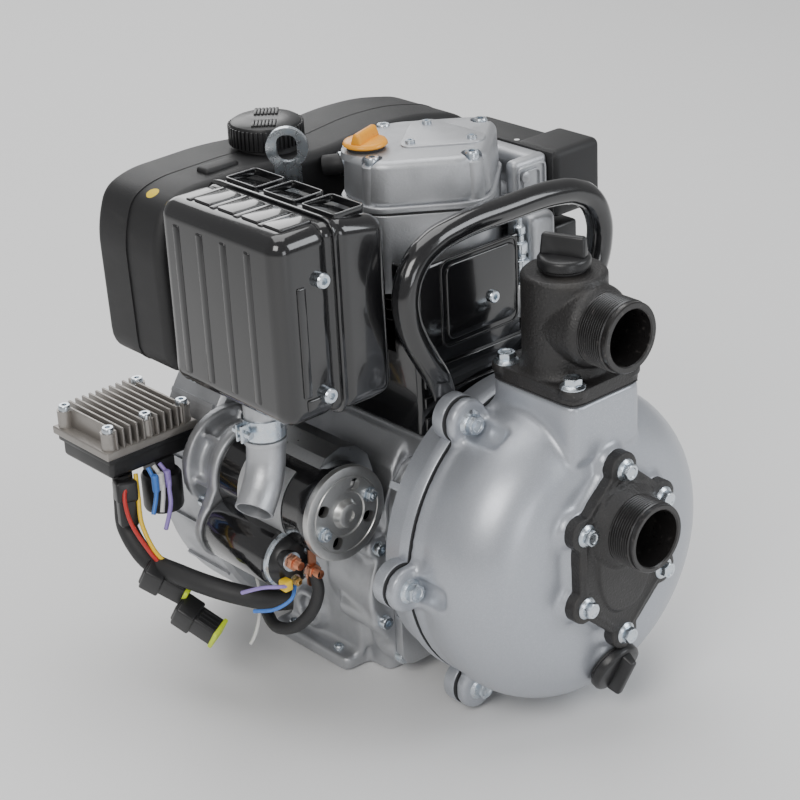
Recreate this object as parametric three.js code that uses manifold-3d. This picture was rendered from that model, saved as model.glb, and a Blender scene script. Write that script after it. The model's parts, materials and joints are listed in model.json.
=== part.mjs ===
// Portable fire pump: a single-cylinder air-cooled diesel engine that drives a
// close-coupled centrifugal pump. Millimetres, +Z up. The origin is on the flat
// base face, under the cylinder axis. The crankshaft lies along Y: the pump is
// towards -Y and the flywheel towards +Y.
import * as THREE from "three";
import { mergeVertices } from "three/addons/utils/BufferGeometryUtils.js";
import Module from "manifold-3d";

const wasm = await Module();
wasm.setup();

// ---------------------------------------------------------------- sizes
const GAP = 0.3; // clearance between two faces that meet
const CRANK_HEIGHT = 148; // crankshaft axis above the base face
const GASKET = 1; // thickness of a flat gasket

// pump ports, 2 inch pipe thread
const PORT_RADIUS = 29.8;
const INLET_BORE = 24.1;
const OUTLET_BORE = 23.2;
const INLET_LENGTH = 35;
const INLET_HEIGHT = 41; // above the crankshaft axis

// pump casing
const FLANGE_BACK = -107;
const FLANGE_THICKNESS = 10;
const FLANGE_RADIUS = 137;
const CASING_DEPTH = 101; // flange back face to suction pad face
const CASING_BULGE = 139; // largest radius of the dome
const CASING_WALL = 9;
const LUG_CIRCLE = 144; // bolt circle radius
const LUG_RADIUS = 20;
const LUG_COUNT = 6;
const LUG_BOLT = 5; // M10 shank radius
const BOLT_CLEARANCE = 0.5; // hole radius over shank radius
const CAVITY_MOUTH = 127;
const HEAD_POCKET = 11.2; // radius of the recess round a bolt head

// suction cover, with its bolt places as [x, height above the crankshaft axis]
const SUCTION_BOLTS = [[0, 91], [-45, 49], [-45.5, -17], [0, -60], [45.5, -17], [45, 49]];
const SUCTION_LOBE = 14.5;
const SUCTION_SPREAD = 8; // outline beyond the bolt polygon
const SUCTION_BOLT = 4; // M8 shank radius
const COVER_THICKNESS = 9.4;
const COVER_HUB = 37;
const SUCTION_MOUTH = [60, 80]; // width and height of the opening behind the cover

// suction flap
const FLAP_RADIUS = 27;
const FLAP_THICKNESS = 5;
const FLAP_PIN = 2.5;
const FLAP_PIN_RISE = 31; // pin above the inlet axis
const FLAP_PIN_BACK = 5; // pin behind the cover's back face
const EAR_REACH = 4; // pin's centre to the edge of its ears

// discharge elbow
const OUTLET_FACE = -226.5;
const OUTLET_HEIGHT = 207; // above the crankshaft axis
const ELBOW_Y = -155;
const ELBOW_RADIUS = 35;
const ELBOW_BORE = 27;
const ELBOW_TOP = 246; // above the crankshaft axis
const ELBOW_FLANGE = [80, 95]; // along X and Y
const ELBOW_FLANGE_THICKNESS = 12;
const ELBOW_SEAT = 153; // underside of the flange above the crankshaft axis
const ELBOW_BOLT = 5;
const ELBOW_BOLT_PLACES = [30, 37]; // half spacing along X and Y

// screw caps
const PRIMING_CAP = 21.5;
const PRIMING_NECK = 14;
const DRAIN_CAP = 24;
const DRAIN_NECK = 12;
const DRAIN_TILT = 25; // degrees below the horizontal
const DRAIN_SEAT = [-201, -95]; // y, and height above the crankshaft axis
const SEAL_THICKNESS = 2;

// close-coupled adaptor
const ADAPTOR_RING = 12;
const ADAPTOR_SKIRT = 133;
const ADAPTOR_SKIRT_BACK = -74;
const ADAPTOR_HUB = 60;
const SHAFT_RADIUS = 14;
const SEAL_POCKET = 24;

// impeller and volute
const IMPELLER_RADIUS = 72;
const IMPELLER_EYE = 26;
const IMPELLER_BACK = -110;
const IMPELLER_WIDTH = 32;
const VOLUTE_RADIUS = 96;
const VOLUTE_WALL = 6;
const VANE_COUNT = 6;

// carry handle
const HANDLE_TUBE = 11; // tube radius
const HANDLE_FOOT = 6; // thickness of the flattened end
const HANDLE_Y = -89.5;
const HANDLE_TOP = 428;

// engine block
const CASE_HALF_WIDTH = 92;
const CASE_FRONT = -30;
const CASE_BACK = 112;
const CASE_TOP = 236;
const BASE_HALF_WIDTH = 115;
const BASE_FRONT = -18;
const FOOT_FRONT = 8;
const BASE_BACK = 114;
const BASE_THICKNESS = 14;
const COVER_PLATE = 15.5; // depth of the front crankcase cover
const CRANK_CHAMBER = 62;
const DECK_UNDERSIDE = 212; // of the deck that carries the cylinder

// crank train
const BORE = 43; // cylinder radius
const STROKE = 76;
const ROD_LENGTH = 128;
const PIN_TO_CROWN = 41;
const PISTON_LENGTH = 64;
const CRANK_PIN = 20;
const WEB_RADIUS = 57;
const WEB_THICKNESS = 14;
const BIG_END_WIDTH = 34;
const REAR_SHAFT = 17;

// cylinder, head and rocker cover
const DECK = 356;
const SPIGOT = 49.5;
const FIN_RADIUS = 62;
const FIN_COUNT = 5;
const HEAD_HEIGHT = 69.5;
const ROCKER_TOP = 468.5;
const HEAD_HALF = [76, 64]; // half sizes along X and Y
const HEAD_CORNER = 12;
const OIL_CAP_PLACE = [-50, 20];
const OIL_CAP = 18.5;
const OIL_NECK = 12;

// cooling sheet metal
const SHEET = 2;
const COWL_HALF = 80;
const COWL_FRONT = -68;
const COWL_BOTTOM = 244;
const COWL_TOP = 394;
const BLOWER_RADIUS = 165;
const BLOWER_FRONT = 128;
const BLOWER_DEPTH = 78;
const BLOWER_BOTTOM = 6;
const FLYWHEEL_RADIUS = 120;
const FLYWHEEL_FRONT = 142;
const FAN_BLADES = 10;

// starter motor
const STARTER = [-128, 205]; // x, z of its axis
const STARTER_RADIUS = 42;
const STARTER_FRONT = -37;
const STARTER_BACK = 88;
const PINION_RADIUS = 18;
const SOLENOID = [-176, 145];
const SOLENOID_RADIUS = 27;
const SOLENOID_BACK = 84;
const SOLENOID_EAR = 12; // thickness of the casting that carries it

// fuel tank, air cleaner and silencer
const TANK_FRONT = 88;
const TANK_DEPTH = 90;
const TANK_SADDLE = 320; // underside over the blower housing
const FUEL_CAP_PLACE = [-68, 128];
const FUEL_CAP = 32.5;
const FUEL_CAP_HEIGHT = 20;
const FUEL_PLUG = 18; // radius, clear of the neck's flats while the cap turns
const FUEL_SEAT = 456;
const CLEANER_FACE = 101;
const CLEANER_SPAN = [-38, 126];
const CLEANER_TOP = 439;
const SILENCER_X = [-220, -110];
const SILENCER_Y = [-74, 82];
const SILENCER_Z = [298, 460];
const PIPE_RADIUS = 15.5;
const PIPE_PLACE = [-190, 0];

// electrics
const REGULATOR_X = [-255, -160];
const REGULATOR_Y = [137, 221];
const REGULATOR_TOP = 243;
const REGULATOR_BOTTOM = 195;
const LOOM_RADIUS = 9;

// ---------------------------------------------------------------- helpers
const finishes = {
  silverPaint: [0xb4b8c2, 0.35, 0.6],
  blackCast: [0x1b1b1c, 0.6, 0.4],
  blackGloss: [0x0b0b0d, 0.15, 0.3],
  blackPlastic: [0x1c1c1e, 0.7, 0],
  bareAluminium: [0xa9abb0, 0.45, 0.9],
  zinc: [0xc6ccd4, 0.3, 1],
  steel: [0x8d9096, 0.35, 1],
  machined: [0xb9b9b6, 0.4, 0.9],
  rubber: [0x18181a, 0.9, 0],
  gasket: [0x3a3a3c, 0.9, 0],
  orange: [0xf2a21b, 0.4, 0],
};

const pumpSet = new THREE.Group();

// Number of flat sides that stand for a round of the given fineness.
const ROUNDNESS = 0.42;
const LEAST_SIDES = 8;
const sidesFor = (fineness) => Math.max(LEAST_SIDES, 2 * Math.round((fineness * ROUNDNESS) / 2));

// Makes a manifold solid from a closed three.js geometry, faces outwards.
function solid(geometry) {
  const bare = geometry.index ? geometry.toNonIndexed() : geometry.clone();
  bare.deleteAttribute("uv");
  bare.deleteAttribute("normal");
  const merged = mergeVertices(bare, 1e-4);
  const position = merged.attributes.position;
  const triangles = [];
  let volume = 0;
  const a = new THREE.Vector3();
  const b = new THREE.Vector3();
  const c = new THREE.Vector3();
  for (let i = 0; i < merged.index.count; i += 3) {
    const [p, q, r] = [0, 1, 2].map((k) => merged.index.getX(i + k));
    if (p === q || q === r || r === p) continue;
    triangles.push(p, q, r);
    a.fromBufferAttribute(position, p);
    b.fromBufferAttribute(position, q);
    c.fromBufferAttribute(position, r);
    volume += a.dot(b.cross(c));
  }
  if (volume < 0) triangles.reverse();
  const mesh = new wasm.Mesh({
    numProp: 3,
    vertProperties: new Float32Array(position.array),
    triVerts: new Uint32Array(triangles),
  });
  return new wasm.Manifold(mesh);
}

function join(first, ...rest) {
  return rest.reduce((sum, piece) => sum.add(piece), first);
}

function cut(first, ...rest) {
  return rest.reduce((left, piece) => left.subtract(piece), first);
}

// Adds a named mesh of one solid to a group.
function addPart(name, body, finish, group = pumpSet) {
  const { vertProperties, triVerts } = body.getMesh();
  const geometry = new THREE.BufferGeometry();
  geometry.setAttribute("position", new THREE.BufferAttribute(new Float32Array(vertProperties), 3));
  geometry.setIndex(new THREE.BufferAttribute(new Uint32Array(triVerts), 1));
  geometry.computeVertexNormals();
  const [color, roughness, metalness] = finishes[finish];
  const mesh = new THREE.Mesh(geometry, new THREE.MeshStandardMaterial({ color, roughness, metalness }));
  mesh.name = name;
  group.add(mesh);
  return mesh;
}

// A box given by its limits along each axis.
function block([x0, x1], [y0, y1], [z0, z1]) {
  const geometry = new THREE.BoxGeometry(x1 - x0, y1 - y0, z1 - z0);
  return solid(geometry.translate((x0 + x1) / 2, (y0 + y1) / 2, (z0 + z1) / 2));
}

// A solid of revolution about the Y line at (x, z); the profile lists [radius, y].
function turnedY(profile, segments = 48, [x, z] = [0, CRANK_HEIGHT]) {
  const points = profile.map(([r, y]) => new THREE.Vector2(r, y));
  return solid(new THREE.LatheGeometry(points, sidesFor(segments)).translate(x, 0, z));
}

// The same about the Z line at (x, y); the profile lists [radius, z].
function turnedZ(profile, segments = 32, [x, y] = [0, 0]) {
  const points = profile.map(([r, z]) => new THREE.Vector2(r, z));
  const geometry = new THREE.LatheGeometry(points, sidesFor(segments)).rotateX(Math.PI / 2);
  return solid(geometry.translate(x, y, 0));
}

function rodY(radius, y0, y1, place = [0, CRANK_HEIGHT], segments = 32) {
  return turnedY([[0, y0], [radius, y0], [radius, y1], [0, y1]], segments, place);
}

function rodZ(radius, z0, z1, place = [0, 0], segments = 32) {
  return turnedZ([[0, z0], [radius, z0], [radius, z1], [0, z1]], segments, place);
}

function rodX(radius, x0, x1, [y, z], segments = 20) {
  const points = [[0, x0], [radius, x0], [radius, x1], [0, x1]].map(([r, x]) => new THREE.Vector2(r, x));
  return solid(new THREE.LatheGeometry(points, sidesFor(segments)).rotateZ(-Math.PI / 2).translate(0, y,
    z));
}

function ringY(outer, inner, y0, y1, place = [0, CRANK_HEIGHT], segments = 40) {
  return turnedY([[inner, y0], [outer, y0], [outer, y1], [inner, y1], [inner, y0]], segments, place);
}

function ringZ(outer, inner, z0, z1, place = [0, 0], segments = 32) {
  return turnedZ([[inner, z0], [outer, z0], [outer, z1], [inner, z1], [inner, z0]], segments, place);
}

// An outline through points whose corners are rounded to one radius.
function roundedOutline(points, radius, cornerSteps = 4) {
  const corners = points.map(([x, y]) => new THREE.Vector2(x, y));
  const outline = [];
  corners.forEach((corner, i) => {
    const before = corners[(i + corners.length - 1) % corners.length];
    const after = corners[(i + 1) % corners.length];
    const back = before.clone().sub(corner);
    const on = after.clone().sub(corner);
    const reach = Math.min(radius, back.length() / 2, on.length() / 2);
    const start = corner.clone().add(back.setLength(reach));
    const end = corner.clone().add(on.setLength(reach));
    outline.push(...new THREE.QuadraticBezierCurve(start, corner, end).getPoints(cornerSteps));
  });
  return outline.filter((p, i) => i === 0 || p.distanceTo(outline[i - 1]) > 1e-3);
}

function rectangle([x0, x1], [y0, y1], radius = 0, steps = 4) {
  const corners = [[x0, y0], [x1, y0], [x1, y1], [x0, y1]];
  return radius > 0 ? roundedOutline(corners, radius, steps)
    : corners.map(([x, y]) => new THREE.Vector2(x, y));
}

function prism(outline, depth) {
  return new THREE.ExtrudeGeometry(new THREE.Shape(outline), { depth, bevelEnabled: false });
}

// An X-Y outline raised from z0 to z1.
function raisedZ(outline, z0, z1) {
  return solid(prism(outline, z1 - z0).translate(0, 0, z0));
}

// An X-Z outline extruded from y0 to y1.
function raisedY(outline, y0, y1) {
  return solid(prism(outline, y1 - y0).rotateX(Math.PI / 2).translate(0, y1, 0));
}

// A Y-Z outline extruded from x0 to x1.
function raisedX(outline, x0, x1) {
  const turn = new THREE.Matrix4().makeBasis(
    new THREE.Vector3(0, 1, 0), new THREE.Vector3(0, 0, 1), new THREE.Vector3(1, 0, 0));
  return solid(prism(outline, x1 - x0).applyMatrix4(turn).translate(x0, 0, 0));
}

// A round bar along a smooth curve through points.
function bar(points, radius, steps, sides = 12) {
  const curve = new THREE.CatmullRomCurve3(points.map((p) => new THREE.Vector3(...p)), false,
    "centripetal");
  const section = new THREE.Shape();
  for (let i = 0; i < sides; i += 1) {
    const angle = (2 * Math.PI * i) / sides;
    const place = [radius * Math.cos(angle), radius * Math.sin(angle)];
    if (i === 0) section.moveTo(...place);
    else section.lineTo(...place);
  }
  section.closePath();
  return solid(new THREE.ExtrudeGeometry(section, { steps, bevelEnabled: false, extrudePath: curve }));
}

// Radius of a many-sided hole whose flats clear a round of the given radius.
const clearOf = (radius, fineness) => (radius + GAP) / Math.cos(Math.PI / sidesFor(fineness));
const above = (height) => CRANK_HEIGHT + height;
const radians = (degrees) => (degrees * Math.PI) / 180;

// ---------------------------------------------------------------- bolts
// A flange-head bolt along +Y: its head is in front of y = 0 and its shank behind.
function flangeBolt(shank, length) {
  const head = shank * 1.3;
  const washer = shank * 2.1;
  const hexagon = Array.from({ length: 6 }, (_, i) => {
    const angle = radians(60 * i + 30);
    return new THREE.Vector2(shank * 1.85 * Math.cos(angle), shank * 1.85 * Math.sin(angle));
  });
  return join(
    turnedY([[0, -2], [washer * 0.9, -2], [washer, -GAP], [shank, -GAP], [shank, length], [0, length]],
      14, [0, 0]),
    raisedY(hexagon, -head - 2, -1.5),
  );
}

function placeBolts(stem, body, places, turn = [0, 0, 0]) {
  places.forEach((place, i) => {
    const mesh = addPart(`${stem}_${i + 1}`, body, "zinc");
    mesh.position.set(...place);
    mesh.rotation.set(...turn);
  });
}

// ---------------------------------------------------------------- pump casing
const lugAngles = Array.from({ length: LUG_COUNT }, (_, i) => radians(30 + (360 / LUG_COUNT) * i));
const lugPlaces = lugAngles.map((a) => [LUG_CIRCLE * Math.sin(a), above(LUG_CIRCLE * Math.cos(a))]);
const PAD_FACE = FLANGE_BACK - CASING_DEPTH;
const FLANGE_FRONT = FLANGE_BACK - FLANGE_THICKNESS;
const SHOULDER = PAD_FACE + 5; // front of the dome, behind the suction pad

function suctionOutline(y0, y1, grow = 0) {
  const middle = [0, SUCTION_BOLTS.reduce((sum, [, z]) => sum + z, 0) / SUCTION_BOLTS.length];
  const polygon = SUCTION_BOLTS.map(([x, z]) => {
    const reach = Math.hypot(x - middle[0], z - middle[1]);
    const scale = (reach + SUCTION_SPREAD + grow) / reach;
    return [middle[0] + (x - middle[0]) * scale, above(middle[1] + (z - middle[1]) * scale)];
  });
  const body = raisedY(roundedOutline(polygon, 10, 2), y0, y1);
  const lobes = SUCTION_BOLTS.map(([x, z]) => rodY(SUCTION_LOBE + grow, y0, y1, [x, above(z)], 20));
  return join(body, ...lobes);
}

function suctionHoles(y0, y1) {
  return join(...SUCTION_BOLTS.map(([x, z]) => rodY(SUCTION_BOLT + BOLT_CLEARANCE, y0, y1,
    [x, above(z)], 12)));
}

function lugs(y0, y1, places = lugPlaces) {
  return places.map((place) => rodY(LUG_RADIUS, y0, y1, place, 18));
}

function lugHoles(y0, y1) {
  return join(...lugPlaces.map((place) => rodY(LUG_BOLT + BOLT_CLEARANCE, y0, y1, place, 12)));
}

// The dome's outer profile from the flange to the front; inset makes its cavity.
function domeProfile(inset) {
  const shape = [
    [CASING_BULGE - 2, -128], [CASING_BULGE, -143], [CASING_BULGE - 2, -157], [CASING_BULGE - 7, -171],
    [CASING_BULGE - 16, -185], [CASING_BULGE - 30, -196], [CASING_BULGE - 48, SHOULDER + 1.5],
    [CASING_BULGE - 70, SHOULDER],
  ];
  return shape.map(([r, y]) => [r - inset, y + inset * (1 - (r / CASING_BULGE) ** 6)]);
}

const drainAxis = new THREE.Vector3(0, -Math.cos(radians(DRAIN_TILT)), -Math.sin(radians(DRAIN_TILT)));

// Turns a solid made about +Z so that +Z points along the drain axis, at its seat.
function atDrain(body) {
  return body
    .rotate([90 + DRAIN_TILT, 0, 0])
    .translate([0, DRAIN_SEAT[0], above(DRAIN_SEAT[1])]);
}

function elbowPad(z0, z1, grow = 0) {
  const [width, depth] = ELBOW_FLANGE;
  const xs = [-width / 2 - grow, width / 2 + grow];
  const ys = [ELBOW_Y - depth / 2 - grow, ELBOW_Y + depth / 2 + grow];
  return raisedZ(rectangle(xs, ys, 12, 3), z0, z1);
}

const PAD_TOP = above(ELBOW_SEAT) - GASKET - 2 * GAP;
const elbowBoltPlaces = [[-1, -1], [1, -1], [1, 1], [-1, 1]].map(([sx, sy]) => [
  sx * ELBOW_BOLT_PLACES[0], ELBOW_Y + sy * ELBOW_BOLT_PLACES[1]]);

function elbowHoles(z0, z1) {
  return join(...elbowBoltPlaces.map((place) => rodZ(ELBOW_BOLT + BOLT_CLEARANCE, z0, z1, place, 12)));
}

function pumpCasing() {
  const flange = [[0, FLANGE_BACK], [FLANGE_RADIUS, FLANGE_BACK], [FLANGE_RADIUS, FLANGE_FRONT],
    [FLANGE_RADIUS - 3, FLANGE_FRONT - 3]];
  const dome = turnedY([...flange, ...domeProfile(0), [0, SHOULDER]], 56);
  const inner = domeProfile(CASING_WALL);
  const innerFront = inner[inner.length - 1][1];
  const cavity = turnedY([[0, FLANGE_BACK + 1], [CAVITY_MOUTH, FLANGE_BACK + 1],
    [CAVITY_MOUTH, FLANGE_FRONT],
    ...inner, [0, innerFront]], 48);
  const [mouthWidth, mouthHeight] = SUCTION_MOUTH;
  const mouthMiddle = above(INLET_HEIGHT);
  const mouth = rectangle([-mouthWidth / 2, mouthWidth / 2],
    [mouthMiddle - mouthHeight / 2, mouthMiddle + mouthHeight / 2], 22, 4);
  const shell = join(
    dome,
    ...lugs(FLANGE_FRONT, FLANGE_BACK),
    suctionOutline(PAD_FACE, SHOULDER + 12),
    elbowPad(above(110), PAD_TOP),
    atDrain(rodZ(DRAIN_CAP - 3, -22, 0, [0, 0], 24)),
  );
  return cut(
    shell,
    cavity,
    raisedY(mouth, PAD_FACE - 1, innerFront + 1),
    suctionHoles(PAD_FACE - 1, PAD_FACE + 14),
    lugHoles(FLANGE_FRONT - 1, FLANGE_BACK + 1),
    ...lugPlaces.map((place) => rodY(HEAD_POCKET / Math.cos(Math.PI / 10), FLANGE_FRONT - 26,
      FLANGE_FRONT, place, 20)),
    rodZ(ELBOW_BORE, above(100), PAD_TOP + 1, [0, ELBOW_Y], 28),
    elbowHoles(PAD_TOP - 18, PAD_TOP + 1),
    atDrain(rodZ(clearOf(DRAIN_NECK, 20), -40, 1, [0, 0], 20)),
    atDrain(rodZ(DRAIN_CAP + 1.5, 0, 30, [0, 0], 28)),
  );
}

addPart("pump_casing", pumpCasing(), "silverPaint");

// ---------------------------------------------------------------- suction cover and flap
const COVER_BACK = PAD_FACE - GASKET - 2 * GAP;
const COVER_FRONT = COVER_BACK - COVER_THICKNESS;
const INLET_FACE = COVER_FRONT - INLET_LENGTH;
const inletPlace = [0, above(INLET_HEIGHT)];
const FLAP_PIN_Y = COVER_BACK + FLAP_PIN_BACK;
const FLAP_PIN_Z = above(INLET_HEIGHT + FLAP_PIN_RISE);
const EAR_INSIDE = 9;
const EAR_THICKNESS = 4;

function suctionCover() {
  const port = turnedY([[0, COVER_BACK + 0.5], [COVER_HUB, COVER_FRONT + 1], [COVER_HUB, COVER_FRONT - 3],
    [PORT_RADIUS + 2, COVER_FRONT - 7], [PORT_RADIUS, COVER_FRONT - 9], [PORT_RADIUS, INLET_FACE + 1],
    [PORT_RADIUS - 1, INLET_FACE], [0, INLET_FACE]], 44, inletPlace);
  const bore = rodY(INLET_BORE, INLET_FACE - 1, COVER_BACK + 1, inletPlace, 40);
  const ears = [-1, 1].map((side) => {
    const inside = side * EAR_INSIDE;
    const outside = side * (EAR_INSIDE + EAR_THICKNESS);
    const reach = [FLAP_PIN_Z - EAR_REACH, FLAP_PIN_Z + EAR_REACH];
    return block([Math.min(inside, outside), Math.max(inside, outside)],
      [COVER_BACK - 1, FLAP_PIN_Y + EAR_REACH], reach);
  });
  const pin = rodX(FLAP_PIN, -EAR_INSIDE - 1, EAR_INSIDE + 1, [FLAP_PIN_Y, FLAP_PIN_Z], 12);
  const plate = cut(join(suctionOutline(COVER_FRONT, COVER_BACK), port), bore,
    suctionHoles(COVER_FRONT - 1, COVER_BACK + 1));
  return join(plate, ...ears, pin);
}

function suctionFlap() {
  const front = COVER_BACK + GAP + 0.1;
  const disc = rodY(FLAP_RADIUS, front, front + FLAP_THICKNESS, inletPlace, 32);
  const weight = rodY(FLAP_RADIUS - 10, front + FLAP_THICKNESS - 1, front + FLAP_THICKNESS + 7,
    inletPlace, 24);
  const halfWidth = EAR_INSIDE - GAP - 0.2;
  const arm = block([-halfWidth, halfWidth], [front, front + FLAP_THICKNESS],
    [above(INLET_HEIGHT) + 10, FLAP_PIN_Z]);
  const knuckle = rodX(FLAP_PIN + 2, -halfWidth, halfWidth, [FLAP_PIN_Y, FLAP_PIN_Z], 16);
  const pinHole = rodX(FLAP_PIN + GAP, -EAR_INSIDE, EAR_INSIDE, [FLAP_PIN_Y, FLAP_PIN_Z], 12);
  return cut(join(disc, weight, arm, knuckle), pinHole);
}

function suctionGasket() {
  const y0 = PAD_FACE - GAP - GASKET;
  const y1 = PAD_FACE - GAP;
  const [mouthWidth, mouthHeight] = SUCTION_MOUTH;
  const middle = above(INLET_HEIGHT);
  const mouth = rectangle([-mouthWidth / 2, mouthWidth / 2],
    [middle - mouthHeight / 2, middle + mouthHeight / 2], 22, 4);
  return cut(suctionOutline(y0, y1), raisedY(mouth, y0 - 1, y1 + 1), suctionHoles(y0 - 1, y1 + 1));
}

addPart("suction_cover", suctionCover(), "blackCast");
addPart("suction_gasket", suctionGasket(), "gasket");
addPart("suction_flap", suctionFlap(), "rubber");
placeBolts("suction_bolt", flangeBolt(SUCTION_BOLT, COVER_THICKNESS + GASKET + 12),
  SUCTION_BOLTS.map(([x, z]) => [x, COVER_FRONT, above(z)]));

// ---------------------------------------------------------------- discharge elbow
function dischargeElbow() {
  const seat = above(ELBOW_SEAT);
  const top = above(ELBOW_TOP);
  const column = turnedZ([[0, seat + 1], [ELBOW_RADIUS + 1, seat + 1],
    [ELBOW_RADIUS + 1, seat + ELBOW_FLANGE_THICKNESS],
    [ELBOW_RADIUS, seat + ELBOW_FLANGE_THICKNESS + 4], [ELBOW_RADIUS, top - 4], [ELBOW_RADIUS - 3, top],
    [0, top]],
  36, [0, ELBOW_Y]);
  const outlet = [0, above(OUTLET_HEIGHT)];
  const branch = turnedY([[0, ELBOW_Y], [ELBOW_RADIUS, ELBOW_Y], [ELBOW_RADIUS, ELBOW_Y - 36],
    [PORT_RADIUS, ELBOW_Y - 42], [PORT_RADIUS, OUTLET_FACE + 1], [PORT_RADIUS - 1, OUTLET_FACE],
    [0, OUTLET_FACE]],
  40, outlet);
  const bore = rodY(OUTLET_BORE, OUTLET_FACE - 1, ELBOW_Y, outlet, 36);
  const well = rodZ(ELBOW_BORE, seat - 1, above(OUTLET_HEIGHT), [0, ELBOW_Y], 28);
  const dome = turnedZ([[0, above(OUTLET_HEIGHT) - 1], [ELBOW_BORE, above(OUTLET_HEIGHT) - 1],
    [ELBOW_BORE - 3, above(OUTLET_HEIGHT) + 18], [0, above(OUTLET_HEIGHT) + 26]], 28, [0, ELBOW_Y]);
  const filler = rodZ(clearOf(PRIMING_NECK, 20), above(OUTLET_HEIGHT), top + 1, [0, ELBOW_Y], 20);
  return cut(join(elbowPad(seat, seat + ELBOW_FLANGE_THICKNESS), column, branch), well, dome, bore,
    filler,
    elbowHoles(seat - 1, seat + ELBOW_FLANGE_THICKNESS + 1));
}

function dischargeGasket() {
  const z0 = PAD_TOP + GAP;
  const z1 = z0 + GASKET;
  return cut(elbowPad(z0, z1), rodZ(ELBOW_BORE, z0 - 1, z1 + 1, [0, ELBOW_Y], 28),
    elbowHoles(z0 - 1, z1 + 1));
}

addPart("discharge_elbow", dischargeElbow(), "blackCast");
addPart("discharge_gasket", dischargeGasket(), "gasket");
placeBolts("discharge_bolt", flangeBolt(ELBOW_BOLT, ELBOW_FLANGE_THICKNESS + GASKET + 12),
  elbowBoltPlaces.map(([x, y]) => [x, y, above(ELBOW_SEAT) + ELBOW_FLANGE_THICKNESS]),
    [-Math.PI / 2, 0, 0]);

// ---------------------------------------------------------------- screw caps
// A cap about +Z whose plug goes down into a neck; its seal ring sits under its rim.
function screwCap(radius, neck, plugLength, discHeight, wingHeight) {
  const rim = SEAL_THICKNESS + 2 * GAP;
  const disc = rodZ(radius, rim, rim + discHeight, [0, 0], 28);
  const plug = rodZ(neck, -plugLength, rim + 1, [0, 0], 20);
  const wing = block([-radius + 2, radius - 2], [-4, 4],
    [rim + discHeight - 1, rim + discHeight + wingHeight]);
  return join(disc, plug, wing);
}

function capSeal(radius, neck) {
  return ringZ(radius - 3, clearOf(neck, 24), GAP, GAP + SEAL_THICKNESS, [0, 0], 24);
}

const primingPlace = [0, ELBOW_Y, above(ELBOW_TOP)];
const primingCap = addPart("priming_cap", screwCap(PRIMING_CAP, PRIMING_NECK, 8, 10, 17), "blackPlastic");
primingCap.position.set(...primingPlace);
primingCap.rotation.z = radians(-67);
addPart("priming_cap_seal", capSeal(PRIMING_CAP, PRIMING_NECK), "rubber").position.set(...primingPlace);

const drainPlace = [0, DRAIN_SEAT[0], above(DRAIN_SEAT[1])];
for (const [name, body, finish] of [
  ["drain_cap", screwCap(DRAIN_CAP, DRAIN_NECK, 12, 9, 11).rotate([0, 0, 90]), "blackPlastic"],
  ["drain_cap_seal", capSeal(DRAIN_CAP, DRAIN_NECK), "rubber"],
]) {
  const mesh = addPart(name, body, finish);
  mesh.rotation.x = radians(90 + DRAIN_TILT);
  mesh.position.set(...drainPlace);
}

// ---------------------------------------------------------------- adaptor and casing bolts
const ADAPTOR_FRONT = FLANGE_BACK + GASKET + 2 * GAP;
const ADAPTOR_RING_BACK = ADAPTOR_FRONT + ADAPTOR_RING;
const ENGINE_FACE = CASE_FRONT - COVER_PLATE;

function pumpAdaptor() {
  const ringBack = ADAPTOR_RING_BACK;
  const web = [
    [SEAL_POCKET, ADAPTOR_FRONT], [FLANGE_RADIUS, ADAPTOR_FRONT], [FLANGE_RADIUS, ringBack - 2],
    [ADAPTOR_SKIRT, ringBack], [ADAPTOR_SKIRT - 1, ADAPTOR_SKIRT_BACK],
    [ADAPTOR_SKIRT - 9, ADAPTOR_SKIRT_BACK],
    [ADAPTOR_SKIRT - 9, ringBack], [ADAPTOR_HUB + 12, ringBack], [ADAPTOR_HUB, ringBack + 12],
    [ADAPTOR_HUB, ENGINE_FACE - GAP], [SHAFT_RADIUS + 2, ENGINE_FACE - GAP],
    [SHAFT_RADIUS + 2, ADAPTOR_FRONT + 14],
    [SEAL_POCKET, ADAPTOR_FRONT + 14], [SEAL_POCKET, ADAPTOR_FRONT],
  ];
  return cut(join(turnedY(web, 56), ...lugs(ADAPTOR_FRONT, ringBack)),
    lugHoles(ADAPTOR_FRONT - 1, ringBack + 1));
}

function casingGasket() {
  const y0 = FLANGE_BACK + GAP;
  const ring = ringY(FLANGE_RADIUS - 0.5, CAVITY_MOUTH, y0, y0 + GASKET, [0, CRANK_HEIGHT], 56);
  return cut(join(ring, ...lugs(y0, y0 + GASKET)), lugHoles(y0 - 1, y0 + GASKET + 1),
    rodY(CAVITY_MOUTH - 0.1, y0 - 1, y0 + GASKET + 1, [0, CRANK_HEIGHT], 56));
}

addPart("pump_adaptor", pumpAdaptor(), "silverPaint");
addPart("casing_gasket", casingGasket(), "gasket");
const casingBoltLength = FLANGE_THICKNESS + GASKET + ADAPTOR_RING + HANDLE_FOOT + 8;
placeBolts("casing_bolt", flangeBolt(LUG_BOLT, casingBoltLength),
  lugPlaces.map(([x, z]) => [x, FLANGE_FRONT, z]));

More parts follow.
